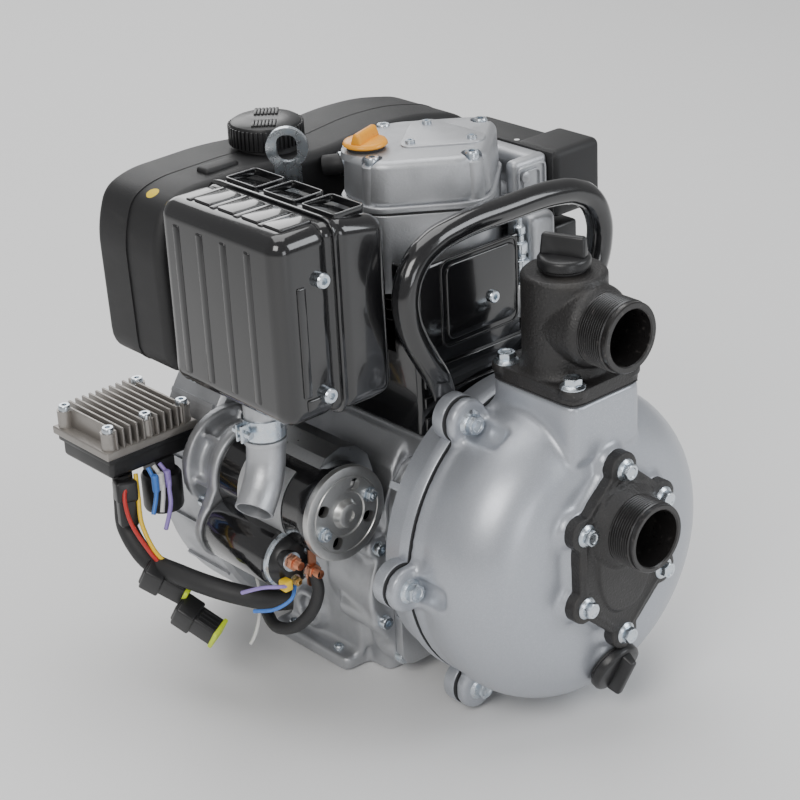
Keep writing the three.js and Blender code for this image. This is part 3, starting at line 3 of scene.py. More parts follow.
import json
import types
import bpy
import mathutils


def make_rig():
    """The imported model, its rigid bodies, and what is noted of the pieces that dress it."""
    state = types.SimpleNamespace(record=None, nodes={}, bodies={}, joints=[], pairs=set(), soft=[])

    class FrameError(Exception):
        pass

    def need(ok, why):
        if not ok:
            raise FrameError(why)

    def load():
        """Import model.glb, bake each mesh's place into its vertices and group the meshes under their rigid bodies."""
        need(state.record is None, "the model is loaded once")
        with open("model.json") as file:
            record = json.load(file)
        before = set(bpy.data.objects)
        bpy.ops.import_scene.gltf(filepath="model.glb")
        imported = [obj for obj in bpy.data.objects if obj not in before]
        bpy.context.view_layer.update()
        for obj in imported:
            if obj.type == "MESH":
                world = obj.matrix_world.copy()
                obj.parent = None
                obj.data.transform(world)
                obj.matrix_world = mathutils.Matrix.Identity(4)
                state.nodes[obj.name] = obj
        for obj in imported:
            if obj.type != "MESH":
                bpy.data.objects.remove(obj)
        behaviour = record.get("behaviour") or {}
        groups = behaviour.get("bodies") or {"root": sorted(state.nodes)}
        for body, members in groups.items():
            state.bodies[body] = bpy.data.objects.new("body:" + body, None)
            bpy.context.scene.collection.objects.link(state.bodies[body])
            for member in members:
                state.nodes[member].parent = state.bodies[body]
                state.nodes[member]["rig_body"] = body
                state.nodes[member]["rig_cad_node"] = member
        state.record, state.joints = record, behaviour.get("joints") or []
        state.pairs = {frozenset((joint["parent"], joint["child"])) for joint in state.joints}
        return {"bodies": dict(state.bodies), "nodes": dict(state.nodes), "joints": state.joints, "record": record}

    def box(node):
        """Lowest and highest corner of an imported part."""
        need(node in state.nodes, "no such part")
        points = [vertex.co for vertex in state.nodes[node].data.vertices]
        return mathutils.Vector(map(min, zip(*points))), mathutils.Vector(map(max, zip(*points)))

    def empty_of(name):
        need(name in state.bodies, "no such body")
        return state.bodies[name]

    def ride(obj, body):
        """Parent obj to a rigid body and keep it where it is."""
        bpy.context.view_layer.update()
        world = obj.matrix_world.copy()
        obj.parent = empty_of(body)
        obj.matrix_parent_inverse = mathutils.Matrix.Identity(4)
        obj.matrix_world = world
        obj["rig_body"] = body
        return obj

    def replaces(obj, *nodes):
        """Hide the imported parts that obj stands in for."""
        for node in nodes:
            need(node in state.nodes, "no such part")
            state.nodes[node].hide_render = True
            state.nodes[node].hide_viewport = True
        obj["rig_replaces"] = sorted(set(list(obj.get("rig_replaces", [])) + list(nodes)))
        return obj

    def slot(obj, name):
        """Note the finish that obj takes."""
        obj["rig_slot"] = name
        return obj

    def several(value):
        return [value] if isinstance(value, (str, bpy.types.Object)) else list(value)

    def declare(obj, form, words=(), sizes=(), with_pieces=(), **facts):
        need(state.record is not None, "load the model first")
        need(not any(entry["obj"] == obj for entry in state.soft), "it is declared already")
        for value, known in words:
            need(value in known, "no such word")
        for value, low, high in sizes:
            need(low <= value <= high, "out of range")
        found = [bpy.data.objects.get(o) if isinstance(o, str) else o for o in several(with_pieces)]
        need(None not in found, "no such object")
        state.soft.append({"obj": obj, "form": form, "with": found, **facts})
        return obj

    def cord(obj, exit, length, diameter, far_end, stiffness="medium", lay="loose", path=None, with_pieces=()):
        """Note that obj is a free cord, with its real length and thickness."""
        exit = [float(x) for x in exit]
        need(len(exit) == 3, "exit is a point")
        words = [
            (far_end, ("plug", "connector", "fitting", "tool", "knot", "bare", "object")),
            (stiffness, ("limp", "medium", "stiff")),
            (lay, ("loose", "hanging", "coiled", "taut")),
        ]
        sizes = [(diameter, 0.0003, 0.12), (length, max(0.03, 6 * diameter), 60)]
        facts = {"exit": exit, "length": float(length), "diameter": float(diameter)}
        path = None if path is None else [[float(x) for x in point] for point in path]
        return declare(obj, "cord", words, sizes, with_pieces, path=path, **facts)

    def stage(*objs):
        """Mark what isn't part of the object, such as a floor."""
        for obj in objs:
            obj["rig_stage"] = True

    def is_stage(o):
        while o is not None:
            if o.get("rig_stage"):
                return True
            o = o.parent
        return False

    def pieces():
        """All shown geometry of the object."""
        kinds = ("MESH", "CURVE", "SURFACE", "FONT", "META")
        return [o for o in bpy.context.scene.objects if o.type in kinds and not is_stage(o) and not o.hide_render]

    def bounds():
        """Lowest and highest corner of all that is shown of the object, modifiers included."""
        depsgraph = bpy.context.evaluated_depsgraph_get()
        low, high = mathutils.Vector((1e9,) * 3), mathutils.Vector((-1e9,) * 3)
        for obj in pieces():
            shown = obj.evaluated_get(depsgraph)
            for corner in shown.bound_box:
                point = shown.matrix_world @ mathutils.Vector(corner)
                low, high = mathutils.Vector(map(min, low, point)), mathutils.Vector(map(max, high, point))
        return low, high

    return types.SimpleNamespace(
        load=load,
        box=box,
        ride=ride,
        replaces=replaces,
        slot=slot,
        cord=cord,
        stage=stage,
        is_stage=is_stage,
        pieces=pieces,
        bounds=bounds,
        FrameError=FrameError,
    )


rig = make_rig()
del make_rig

bl_info = {
    "name": "Portable Fire Pump",
    "version": (1, 0, 0),
    "blender": (4, 5, 0),
    "location": "3D View > Sidebar > Fire Pump",
    "description": "Models the castings, covers, wiring and finishes of a portable fire pump",
    "category": "Object",
}

import json
import math

import bpy
from mathutils import Matrix, Vector

import sys

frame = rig.load()
CAD_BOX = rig.bounds()

MM = 0.001
CRANK_HEIGHT = 148  # crankshaft axis above the base, in millimetres like every length below
UP = Vector((0, 0, 1))


# ---------------------------------------------------------------- sizes from the frame
def span(node):
    """The node's (low, high) along X, Y and Z, in millimetres."""
    low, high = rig.box(node)
    return [(low[i] / MM, high[i] / MM) for i in range(3)]


def middle(node):
    """The middle of the node's box, in millimetres."""
    return Vector([(low + high) / 2 for low, high in span(node)])


# ---------------------------------------------------------------- modelling helpers
def clear():
    """Back to object mode with nothing selected."""
    if bpy.context.mode != "OBJECT":
        bpy.ops.object.mode_set(mode="OBJECT")
    bpy.ops.object.select_all(action="DESELECT")


def alone(piece):
    """Leave only this piece selected, and active."""
    clear()
    piece.select_set(True)
    bpy.context.view_layer.objects.active = piece


def settle(name):
    """Name the new object and move its place into its mesh."""
    piece = bpy.context.object
    piece.name = name
    bpy.ops.object.transform_apply(location=True, rotation=True, scale=True)
    return piece


def box(x, y, z, name="block"):
    """A block between two numbers on each axis."""
    clear()
    sides = [Vector(pair) for pair in (x, y, z)]
    place = [sum(side) / 2 * MM for side in sides]
    size = [abs(side[1] - side[0]) * MM for side in sides]
    bpy.ops.mesh.primitive_cube_add(size=1, location=place, scale=size)
    return settle(name)


TURNS = {"X": (0, math.pi / 2, 0), "Y": (math.pi / 2, 0, 0), "Z": (0, 0, 0)}
def along(axis, place, reach):
    """The point at a reach along an axis, over a place given by its other two coordinates."""
    a, b = place
    return {"X": Vector((reach, a, b)), "Y": Vector((a, reach, b)), "Z": Vector((a, b, reach))}[axis]


def rod(axis, radius, low, high, place=(0, 0), sides=48, name="rod"):
    """A cylinder along an axis."""
    clear()
    centre = along(axis, place, (low + high) / 2) * MM
    bpy.ops.mesh.primitive_cylinder_add(vertices=sides, radius=radius * MM, depth=abs(high - low) * MM,
                                        location=centre, rotation=TURNS[axis])
    return settle(name)


def ball(centre, radius, squash=(1, 1, 1), name="ball"):
    """A sphere, squashed along the axes."""
    clear()
    bpy.ops.mesh.primitive_uv_sphere_add(segments=32, ring_count=16, radius=radius * MM,
                                         location=Vector(centre) * MM, scale=squash)
    return settle(name)


def traced(points, name):
    """A loop of edges through the points, started as a circle and pulled to them."""
    clear()
    bpy.ops.mesh.primitive_circle_add(vertices=len(points), radius=MM)
    piece = settle(name)
    piece.data.vertices.foreach_set("co", [number * MM for point in points for number in point])
    piece.data.update()
    return piece


def tidy_mesh():
    """Merge the open mesh's doubles, drop what is loose and point its faces outwards."""
    bpy.ops.mesh.select_all(action="SELECT")
    bpy.ops.mesh.remove_doubles(threshold=0.00001)
    bpy.ops.mesh.dissolve_degenerate(threshold=0.000005)
    bpy.ops.mesh.delete_loose()
    bpy.ops.mesh.select_all(action="SELECT")
    bpy.ops.mesh.normals_make_consistent(inside=False)
    bpy.ops.object.mode_set(mode="OBJECT")


def turned(profile, place=(0, 0), axis="Y", steps=72, name="turned"):
    """A profile of (radius, reach along the axis) spun round the axis."""
    a, b = place
    first = {"X": lambda r, s: (s, a + r, b), "Y": lambda r, s: (a + r, s, b), "Z": lambda r,
             s: (a + r, b, s)}
    piece = traced([first[axis](r, s) for r, s in profile], name)
    alone(piece)
    bpy.ops.object.mode_set(mode="EDIT")
    bpy.ops.mesh.select_all(action="SELECT")
    direction = along(axis, (0, 0), 1)
    bpy.ops.mesh.spin(steps=steps, angle=2 * math.pi, use_auto_merge=True,
                      center=along(axis, place, 0) * MM, axis=direction)
    tidy_mesh()
    return piece


def raised(outline, axis, low, high, name="plate"):
    """A flat outline, of the two coordinates across the axis, raised from low to high."""
    piece = traced([along(axis, point, low) for point in outline], name)
    alone(piece)
    bpy.ops.object.mode_set(mode="EDIT")
    bpy.ops.mesh.select_all(action="SELECT")
    bpy.ops.mesh.edge_face_add()
    move = along(axis, (0, 0), (high - low) * MM)
    bpy.ops.mesh.extrude_region_move(TRANSFORM_OT_translate={"value": move})
    tidy_mesh()
    return piece


def swept(points, radius, name="tube", sides=16, steps=8, ends=True):
    """A round bar along a smooth line through the points."""
    clear()
    bpy.ops.curve.primitive_bezier_curve_add()
    line = bpy.context.object
    knots = line.data.splines[0].bezier_points
    knots.add(len(points) - 2)
    for knot, point in zip(knots, points):
        knot.co = Vector(point) * MM
        knot.handle_left_type = knot.handle_right_type = "AUTO"
    line.data.bevel_depth = radius * MM
    line.data.bevel_resolution = max(1, sides // 4 - 1)
    line.data.resolution_u = steps
    line.data.use_fill_caps = ends
    bpy.ops.object.convert(target="MESH")
    piece = settle(name)
    bpy.ops.object.mode_set(mode="EDIT")
    tidy_mesh()
    return piece


def modify(piece, kind, **settings):
    """Add a modifier, set it and apply it."""
    alone(piece)
    modifier = piece.modifiers.new(kind.title(), kind)
    for key, value in settings.items():
        setattr(modifier, key, value)
    bpy.ops.object.modifier_apply(modifier=modifier.name)
    return piece


def eased(piece, width, segments=3, angle=32):
    """Round the edges that turn more than an angle."""
    return modify(piece, "BEVEL", width=width * MM, segments=segments, limit_method="ANGLE",
                  angle_limit=math.radians(angle), harden_normals=False)


def join(name, *pieces):
    """One piece from several."""
    alone(pieces[0])
    for piece in pieces[1:]:
        piece.select_set(True)
    bpy.ops.object.join()
    pieces[0].name = name
    return pieces[0]


def combine(piece, operation, *tools):
    """Add tools to a piece, or take them from it."""
    for tool in tools:
        modify(piece, "BOOLEAN", operation=operation, object=tool, solver="EXACT")
        bpy.data.objects.remove(tool)
    return piece


def carve(piece, *tools):
    return combine(piece, "DIFFERENCE", *tools)


def hollow(piece, *tools):
    """Take tools from a remeshed casting, whose skin is closed."""
    for tool in tools:
        modify(piece, "BOOLEAN", operation="DIFFERENCE", object=tool, solver="MANIFOLD")
        bpy.data.objects.remove(tool)
    return piece


def cast(piece, grain, passes=8, strength=0.5):
    """One skin over the joined solids, with the soft corners of a casting."""
    modify(piece, "REMESH", mode="VOXEL", voxel_size=grain * MM)
    return modify(piece, "SMOOTH", factor=strength, iterations=passes)


def moved(piece, matrix):
    """Move the piece's mesh by a matrix in millimetres."""
    scaled = matrix.copy()
    scaled.translation = matrix.translation * MM
    piece.data.transform(scaled)
    piece.data.update()
    return piece


def copied(piece, name, matrix):
    """A copy with its own mesh, placed by a matrix in millimetres."""
    alone(piece)
    bpy.ops.object.duplicate()
    twin = bpy.context.object
    twin.name = name
    return moved(twin, matrix)


def facing(direction, place, turn=0):
    """The matrix that stands a piece made about +Z at a place, facing a direction."""
    turned_to = Vector(direction).to_track_quat("Z", "Y").to_matrix().to_4x4()
    return Matrix.Translation(Vector(place)) @ turned_to @ Matrix.Rotation(math.radians(turn), 4, "Z")


def rounded(points, radius, steps=5):
    """The outline with each corner rounded to a radius, or to what its sides allow."""
    corners = [Vector(point) for point in points]
    outline = []
    for i, corner in enumerate(corners):
        back = corners[i - 1] - corner
        on = corners[(i + 1) % len(corners)] - corner
        reach = min(radius, back.length / 2.05, on.length / 2.05)
        start = corner + back.normalized() * reach
        end = corner + on.normalized() * reach
        for step in range(steps + 1):
            t = step / steps
            outline.append(tuple(start.lerp(corner, t).lerp(corner.lerp(end, t), t)))
    return outline


def oblong(a, b, radius, steps=5):
    """A rounded rectangle between two numbers on each of two axes."""
    return rounded([(a[0], b[0]), (a[1], b[0]), (a[1], b[1]), (a[0], b[1])], radius, steps)


def flowing(points, steps=5):
    """A smooth line through the points."""
    line = []
    for i in range(len(points) - 1):
        before, start, end, after = (Vector(points[max(0, min(len(points) - 1, i + k))]) for k in (-1, 0, 1,
            2))
        for step in range(steps):
            t = step / steps
            line.append(tuple(0.5 * (2 * start + (end - before) * t
                                     + (2 * before - 5 * start + 4 * end - after) * t * t
                                     + (3 * start - before - 3 * end + after) * t * t * t)))
    return [*line, tuple(points[-1])]


def threaded(radius, start, end, pitch, depth):
    """Profile points of a thread's crests and roots from start to end."""
    turns = round(abs(end - start) / pitch)
    lead = (end - start) / turns
    points = []
    for i in range(turns):
        y = start + i * lead
        points += [(radius, y + 0.12 * lead), (radius, y + 0.32 * lead),
                   (radius - depth, y + 0.62 * lead), (radius - depth, y + 0.82 * lead)]
    return points


# ---------------------------------------------------------------- finishes
class Value:
    """A shader value that Python's arithmetic joins with Math nodes."""

    def __init__(self, finish, socket):
        self.finish = finish
        self.socket = socket

    def __add__(self, other):
        return self.finish.maths("ADD", self, other)

    def __sub__(self, other):
        return self.finish.maths("SUBTRACT", self, other)

    def __rsub__(self, other):
        return self.finish.maths("SUBTRACT", other, self)

    def __mul__(self, other):
        return self.finish.maths("MULTIPLY", self, other)

    def __truediv__(self, other):
        return self.finish.maths("DIVIDE", self, other)

    def __gt__(self, other):
        return self.finish.maths("GREATER_THAN", self, other)

    def __lt__(self, other):
        return self.finish.maths("LESS_THAN", self, other)

    __radd__ = __add__
    __rmul__ = __mul__


class Finish:
    """A material on the Principled shader, drawn in the object's own coordinates."""

    def __init__(self, name, colour, roughness, metallic=0.0, **steady):
        self.material = bpy.data.materials.new(name)
        self.material.use_nodes = True
        self.nodes = self.material.node_tree.nodes
        self.links = self.material.node_tree.links
        self.surface = self.nodes["Principled BSDF"]
        self.colour = (*colour, 1)
        self.put("Base Color", self.colour)
        self.put("Roughness", roughness)
        self.put("Metallic", metallic)
        for key, value in steady.items():
            self.put(key.replace("_", " ").title().replace("Ior", "IOR"), value)
        self.here = self.node("ShaderNodeTexCoord", output="Object")

    def put(self, socket, value):
        """Set or link one of the surface's sockets."""
        self.feed(self.surface.inputs[socket], value)

    def feed(self, socket, value):
        if isinstance(value, Value):
            self.links.new(value.socket, socket)
        else:
            socket.default_value = value

    def node(self, kind, settings=None, inputs=None, output=0):
        """Add a node: its settings first, then its sockets' values or links."""
        made = self.nodes.new(kind)
        for key, value in (settings or {}).items():
            setattr(made, key, value)
        for key, value in (inputs or {}).items():
            self.feed(made.inputs[key], value)
        return Value(self, made.outputs[output])

    def maths(self, operation, a, b):
        return self.node("ShaderNodeMath", {"operation": operation}, {0: a, 1: b})

    def clamp(self, value):
        return self.node("ShaderNodeClamp", None, {"Value": value})

    def noise(self, scale, detail=3.0, stretch=None):
        """Noise of a size, about 0 to 1, from cells per metre."""
        place = self.here
        if stretch:
            place = self.node("ShaderNodeMapping", None, {"Vector": place, "Scale": stretch})
        return self.node("ShaderNodeTexNoise", None, {"Vector": place, "Scale": scale, "Detail": detail})

    def cells(self, scale):
        return self.node("ShaderNodeTexVoronoi", None, {"Vector": self.here, "Scale": scale})

    def near(self, place, radius):
        """1 within a radius of a place in millimetres, and 0 outside."""
        away = self.node("ShaderNodeVectorMath", {"operation": "DISTANCE"},
                         {0: self.here, 1: Vector(place) * MM}, "Value")
        return away < radius * MM

    def height(self):
        """Height above the base, in metres."""
        return self.node("ShaderNodeSeparateXYZ", None, {0: self.here}, "Z")

    def tint(self, mask, colour):
        """Mix another colour over what is there by a mask."""
        under = self.surface.inputs["Base Color"]
        below = Value(self, under.links[0].from_socket) if under.is_linked else tuple(under.default_value)
        mixed = self.node("ShaderNodeMix", {"data_type": "RGBA"},
                          {"Factor": mask, 6: below, 7: (*colour, 1)}, 2)
        self.put("Base Color", mixed)
        return self

    def rough(self, value):
        self.put("Roughness", self.clamp(value))
        return self

    def bump(self, height, strength, distance):
        """Raise the surface by a height, over a distance in millimetres."""
        bumped = self.node("ShaderNodeBump", None,
                           {"Height": height, "Strength": strength, "Distance": distance * MM})
        self.put("Normal", bumped)
        return self


def silver_paint(look):
    made = Finish("silver_paint", look.paint, 0.34, 0.55, coat_weight=0.25, coat_roughness=0.18)
    flakes = made.noise(2600, 2)
    tone = made.noise(14, 4)
    made.tint(made.clamp((flakes - 0.52) * 2.2), (0.86, 0.88, 0.92))
    made.tint(made.clamp((tone - 0.5) * 0.9), (0.40, 0.42, 0.46))
    made.rough(0.29 + tone * 0.12 + flakes * 0.05)
    return made.bump(made.noise(260, 3) + flakes * 0.15, 0.16, 0.35)


def black_casting(look):
    made = Finish("black_casting", look.casting, 0.42, 0.0, specular_ior_level=0.6)
    grain = made.noise(620, 4)
    specks = made.cells(420)
    dust = made.noise(22, 5)
    made.tint(made.clamp((dust - 0.55) * 1.8), (0.055, 0.048, 0.04))
    made.tint(made.clamp((grain - 0.66) * 6), (0.15, 0.14, 0.13))
    made.rough(0.30 + dust * 0.25 + grain * 0.12)
    return made.bump(grain + specks * 0.45, 0.75, 0.7)


def thread_black(look):
    made = Finish("thread_black", look.casting, 0.3, 0.15, specular_ior_level=0.7)
    worn = made.noise(180, 4)
    made.tint(made.clamp((worn - 0.6) * 5), (0.10, 0.09, 0.085))
    made.rough(0.2 + worn * 0.22)
    return made.bump(made.noise(900, 2), 0.2, 0.2)


def black_enamel(look):
    made = Finish("black_enamel", look.enamel, 0.12, 0.0, coat_weight=0.7, coat_roughness=0.05)
    ripple = made.noise(46, 2)
    dust = made.noise(300, 5)
    made.tint(made.clamp((dust - 0.62) * 2.2), (0.035, 0.034, 0.033))
    made.rough(0.10 + dust * 0.14)
    return made.bump(ripple + dust * 0.02, 0.22, 0.6)


def black_sheet(look):
    made = Finish("black_sheet", look.enamel, 0.3, 0.0, coat_weight=0.25, coat_roughness=0.2)
    dust = made.noise(90, 6)
    made.tint(made.clamp((dust - 0.55) * 1.6), (0.04, 0.039, 0.038))
    made.rough(0.24 + dust * 0.2)
    return made.bump(made.noise(380, 2), 0.12, 0.25)


def tank_plastic(look):
    made = Finish("tank_plastic", look.plastic, 0.48, specular_ior_level=0.45)
    grain = made.noise(1150, 3)
    scuff = made.noise(30, 6, (1, 1, 3))
    made.tint(made.clamp((scuff - 0.6) * 1.5), (0.045, 0.043, 0.042))
    made.tint(made.near((-196, 118, 448), 6), (0.75, 0.55, 0.02))
    made.tint(made.near((112, 10, 438), 2.6), (0.8, 0.8, 0.8))
    made.rough(0.40 + grain * 0.15 + scuff * 0.1)
    return made.bump(grain + made.cells(900) * 0.3, 0.45, 0.35)


def moulded_plastic(look):
    made = Finish("moulded_plastic", look.plastic, 0.32, specular_ior_level=0.5)
    haze = made.noise(60, 5)
    made.tint(made.clamp((haze - 0.58) * 1.6), (0.05, 0.05, 0.055))
    made.rough(0.25 + haze * 0.2)
    return made.bump(made.noise(700, 2), 0.15, 0.2)


def bare_casting(look):
    made = Finish("bare_casting", look.bare, 0.4, 0.85)
    grain = made.noise(540, 4)
    stain = made.noise(24, 6)
    pits = made.cells(330)
    made.tint(made.clamp((stain - 0.48) * 1.9), (0.24, 0.245, 0.255))
    made.tint(made.clamp((grain - 0.6) * 2.4), (0.66, 0.67, 0.69))
    made.rough(0.30 + stain * 0.24 + grain * 0.08)
    return made.bump(grain + pits * 0.25, 0.38, 0.4)


def machined(look):
    made = Finish("machined", (0.55, 0.55, 0.54), 0.32, 0.9)
    rings = made.noise(420, 2)
    made.tint(made.clamp((rings - 0.5) * 1.2), (0.40, 0.40, 0.40))
    made.rough(0.26 + rings * 0.16)
    return made.bump(rings, 0.12, 0.2)


def zinc(look):
    made = Finish("zinc", (0.66, 0.71, 0.76), 0.26, 1.0)
    bloom = made.noise(150, 4)
    made.tint(made.clamp((bloom - 0.5) * 2.0), (0.45, 0.58, 0.72))
    made.tint(made.clamp((made.noise(230, 3) - 0.62) * 3), (0.78, 0.70, 0.55))
    made.rough(0.16 + bloom * 0.24)
    return made.bump(made.noise(900, 2), 0.12, 0.15)


def steel(look):
    made = Finish("steel", (0.50, 0.51, 0.52), 0.3, 1.0)
    swirl = made.noise(260, 4)
    made.rough(0.22 + swirl * 0.2)
    return made.tint(made.clamp((swirl - 0.55) * 1.6), (0.34, 0.35, 0.37)).bump(swirl, 0.1, 0.15)


def rubber(look):
    made = Finish("rubber", (0.02, 0.02, 0.021), 0.55)
    bloom = made.noise(120, 5)
    made.tint(made.clamp((bloom - 0.6) * 1.5), (0.05, 0.05, 0.052))
    return made.rough(0.45 + bloom * 0.25).bump(made.noise(800, 2), 0.15, 0.15)


def gasket_paper(look):
    made = Finish("gasket_paper", (0.035, 0.036, 0.038), 0.8)
    fibre = made.noise(900, 4)
    return made.tint(fibre * 0.5, (0.08, 0.08, 0.085)).bump(fibre, 0.3, 0.2)


def plain(name, colour, roughness=0.35, metallic=0.0, grain=260):
    """A small part's finish: a colour with faint mottling and a slight surface."""
    def make(look):
        made = Finish(name, colour, roughness, metallic)
        mottle = made.noise(grain, 4)
        made.tint(made.clamp((mottle - 0.55) * 1.4), tuple(channel * 0.62 for channel in colour))
        return made.rough(roughness - 0.08 + mottle * 0.16).bump(mottle, 0.1, 0.2)
    return make


RECIPES = {
    "silver_paint": silver_paint, "black_casting": black_casting, "thread_black": thread_black,
    "black_enamel": black_enamel, "black_sheet": black_sheet, "tank_plastic": tank_plastic,
    "moulded_plastic": moulded_plastic, "bare_casting": bare_casting, "machined": machined,
    "zinc": zinc, "steel": steel, "rubber": rubber, "gasket_paper": gasket_paper,
    "orange_plastic": plain("orange_plastic", (0.86, 0.36, 0.02), 0.34),
    "copper": plain("copper", (0.72, 0.33, 0.20), 0.34, 1.0),
    "brass": plain("brass", (0.66, 0.45, 0.18), 0.36, 1.0),
    "yellow_vinyl": plain("yellow_vinyl", (0.90, 0.60, 0.03), 0.38),
    "lime_seal": plain("lime_seal", (0.62, 0.78, 0.03), 0.42),
    "red_wire": plain("red_wire", (0.50, 0.03, 0.025), 0.4),
    "violet_wire": plain("violet_wire", (0.33, 0.24, 0.60), 0.4),
    "blue_wire": plain("blue_wire", (0.06, 0.20, 0.62), 0.4),
    "white_nylon": plain("white_nylon", (0.66, 0.66, 0.64), 0.45),
    "grey_cast": plain("grey_cast", (0.30, 0.30, 0.31), 0.45, 0.7, 300),
    "label_plate": plain("label_plate", (0.50, 0.51, 0.52), 0.4, 0.4),
    "heatsink": plain("heatsink", (0.34, 0.32, 0.30), 0.42, 0.75, 90),
}
finishes = {}


def finish(name):
    """The named material, made once."""
    if name not in finishes:
        finishes[name] = RECIPES[name](bpy.context.scene.fire_pump_finish).material
    return finishes[name]


def coat(piece, name):
    """Give a piece one material."""
    piece.data.materials.clear()
    piece.data.materials.append(finish(name))
    return piece


def dress(piece, finish_name, slot, body="frame", stands_for=(), angle=38):
    """Finish a piece's surface and fix it to its body."""
    if finish_name:
        coat(piece, finish_name)
    alone(piece)
    bpy.ops.object.shade_smooth_by_angle(angle=math.radians(angle))
    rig.ride(piece, body)
    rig.slot(piece, slot)
    if stands_for:
        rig.replaces(piece, *stands_for)
    return piece


# ---------------------------------------------------------------- what a user can change
class FIREPUMP_PG_sizes(bpy.types.PropertyGroup):
    """Sizes of the pump's cast and threaded details."""

    casting_grain: bpy.props.FloatProperty(
        name="Casting Grain", description="How finely the large castings are skinned",
        default=0.0023, min=0.001, unit="LENGTH")
    thread_pitch: bpy.props.FloatProperty(
        name="Thread Pitch", description="Distance between two turns of the port threads",
        default=0.002309, min=0.001, unit="LENGTH")
    thread_depth: bpy.props.FloatProperty(
        name="Thread Depth", description="Depth of the port threads",
        default=0.0012, min=0.0002, unit="LENGTH")
    handle_tube: bpy.props.FloatProperty(
        name="Handle Tube", description="Radius of the carry handle's tube",
        default=0.0112, min=0.005, unit="LENGTH")
    loom_sleeve: bpy.props.FloatProperty(
        name="Loom Sleeve", description="Radius of the wiring loom's sleeve",
        default=0.009, min=0.001, unit="LENGTH")


class FIREPUMP_PG_finish(bpy.types.PropertyGroup):
    """Colours of the paints, castings and plastics."""

    paint: bpy.props.FloatVectorProperty(
        name="Silver Paint", description="Paint of the pump casing", subtype="COLOR",
        default=(0.40, 0.42, 0.46), min=0, max=1)
    casting: bpy.props.FloatVectorProperty(
        name="Black Castings", description="Suction cover and discharge elbow", subtype="COLOR",
        default=(0.014, 0.013, 0.013), min=0, max=1)
    enamel: bpy.props.FloatVectorProperty(
        name="Black Enamel", description="Silencer, handle and sheet covers", subtype="COLOR",
        default=(0.008, 0.008, 0.009), min=0, max=1)
    plastic: bpy.props.FloatVectorProperty(
        name="Black Plastic", description="Tank, caps and air cleaner cover", subtype="COLOR",
        default=(0.016, 0.016, 0.017), min=0, max=1)
    bare: bpy.props.FloatVectorProperty(
        name="Bare Castings", description="Crankcase, head and rocker cover", subtype="COLOR",
        default=(0.50, 0.51, 0.53), min=0, max=1)


# ---------------------------------------------------------------- pump
PAD_FACE = span("pump_casing")[1][0]
FLANGE_BACK = span("pump_casing")[1][1]
FLANGE_FRONT = FLANGE_BACK - 10
FLANGE_RADIUS = 137
LUGS = [tuple(middle(f"casing_bolt_{i}").xz) for i in range(1, 7)]
CRANK_LINE = (0, CRANK_HEIGHT)
INLET = (0, 189)
INLET_FACE, COVER_BACK = span("suction_cover")[1]
COVER_FRONT = -219.0
OUTLET = (0, 355)
OUTLET_FACE = span("discharge_elbow")[1][0]
ELBOW_PLACE = (0, -155)
ELBOW_SEAT, ELBOW_TOP = span("discharge_elbow")[2]
DRAIN_TILT = 25
DRAIN_SEAT = Vector((0, -201, 53))
DRAIN_AXIS = Vector((0, -math.cos(math.radians(DRAIN_TILT)), -math.sin(math.radians(DRAIN_TILT))))
COVER_BOLTS = [tuple(middle(f"suction_bolt_{i}").xz) for i in range(1, 7)]


def dome_line(inset=0.0):
    """The dome's profile from the flange to the front, or that of the room inside it."""
    points = [(134.5, -118), (136.6, -126), (138.6, -140), (137.6, -154), (133, -169), (124, -183.5),
              (109.5, -195.5), (91, -201.6), (69, -203)]
    return flowing([(r - inset, y + inset * (1 - (r / 139) ** 6)) for r, y in points], 4)


def cover_plate(low, high, grow=0.0, lobe=14.5):
    """The suction cover's lobed plate: a polygon with a round lobe at each bolt."""
    centre = sum((Vector(place) for place in COVER_BOLTS), Vector((0, 0))) / len(COVER_BOLTS)
    corners = []
    for place in COVER_BOLTS:
        out = Vector(place) - centre
        corners.append(tuple(centre + out * ((out.length + 8 + grow) / out.length)))
    body = raised(rounded(corners, 10), "Y", low, high)
    lobes = [rod("Y", lobe + grow, low, high, place) for place in COVER_BOLTS]
    return join("cover_plate", body, *lobes)


def hex_bolt(flange, height, name):
    """A flange-head bolt that stands on the X-Y plane."""
    across = flange * 0.74
    skirt = turned([(0, -height), (flange * 0.45, -height), (flange * 0.45, 0), (flange, 0),
                    (flange, height * 0.10), (flange * 0.92, height * 0.2), (across, height * 0.34),
                    (0, height * 0.34)],
                   axis="Z", steps=28)
    head = rod("Z", across, height * 0.2, height, sides=6)
    crown = turned([(0, height * 0.1), (across * 1.2, height * 0.1), (across * 1.08, height * 0.82),
                    (across * 0.86, height), (across * 0.62, height * 0.995), (across * 0.52, height * 0.94),
                    (0, height * 0.93)], axis="Z", steps=28)
    combine(head, "INTERSECT", crown)
    eased(head, 0.35, 2, 25)
    return join(name, skirt, head)


def gusset(place):
    """The pointed web that runs from a lug on to the dome."""
    out = (Vector(place) - Vector(CRANK_LINE)).normalized()
    side = Vector((-out.y, out.x))
    base = Vector(place) - out * 6
    outline = [tuple(base + side * 17), tuple(base - side * 17), tuple(base - out * 22 - side * 3),
               tuple(base - out * 22 + side * 3)]
    return raised(outline, "Y", FLANGE_FRONT - 14, FLANGE_BACK)


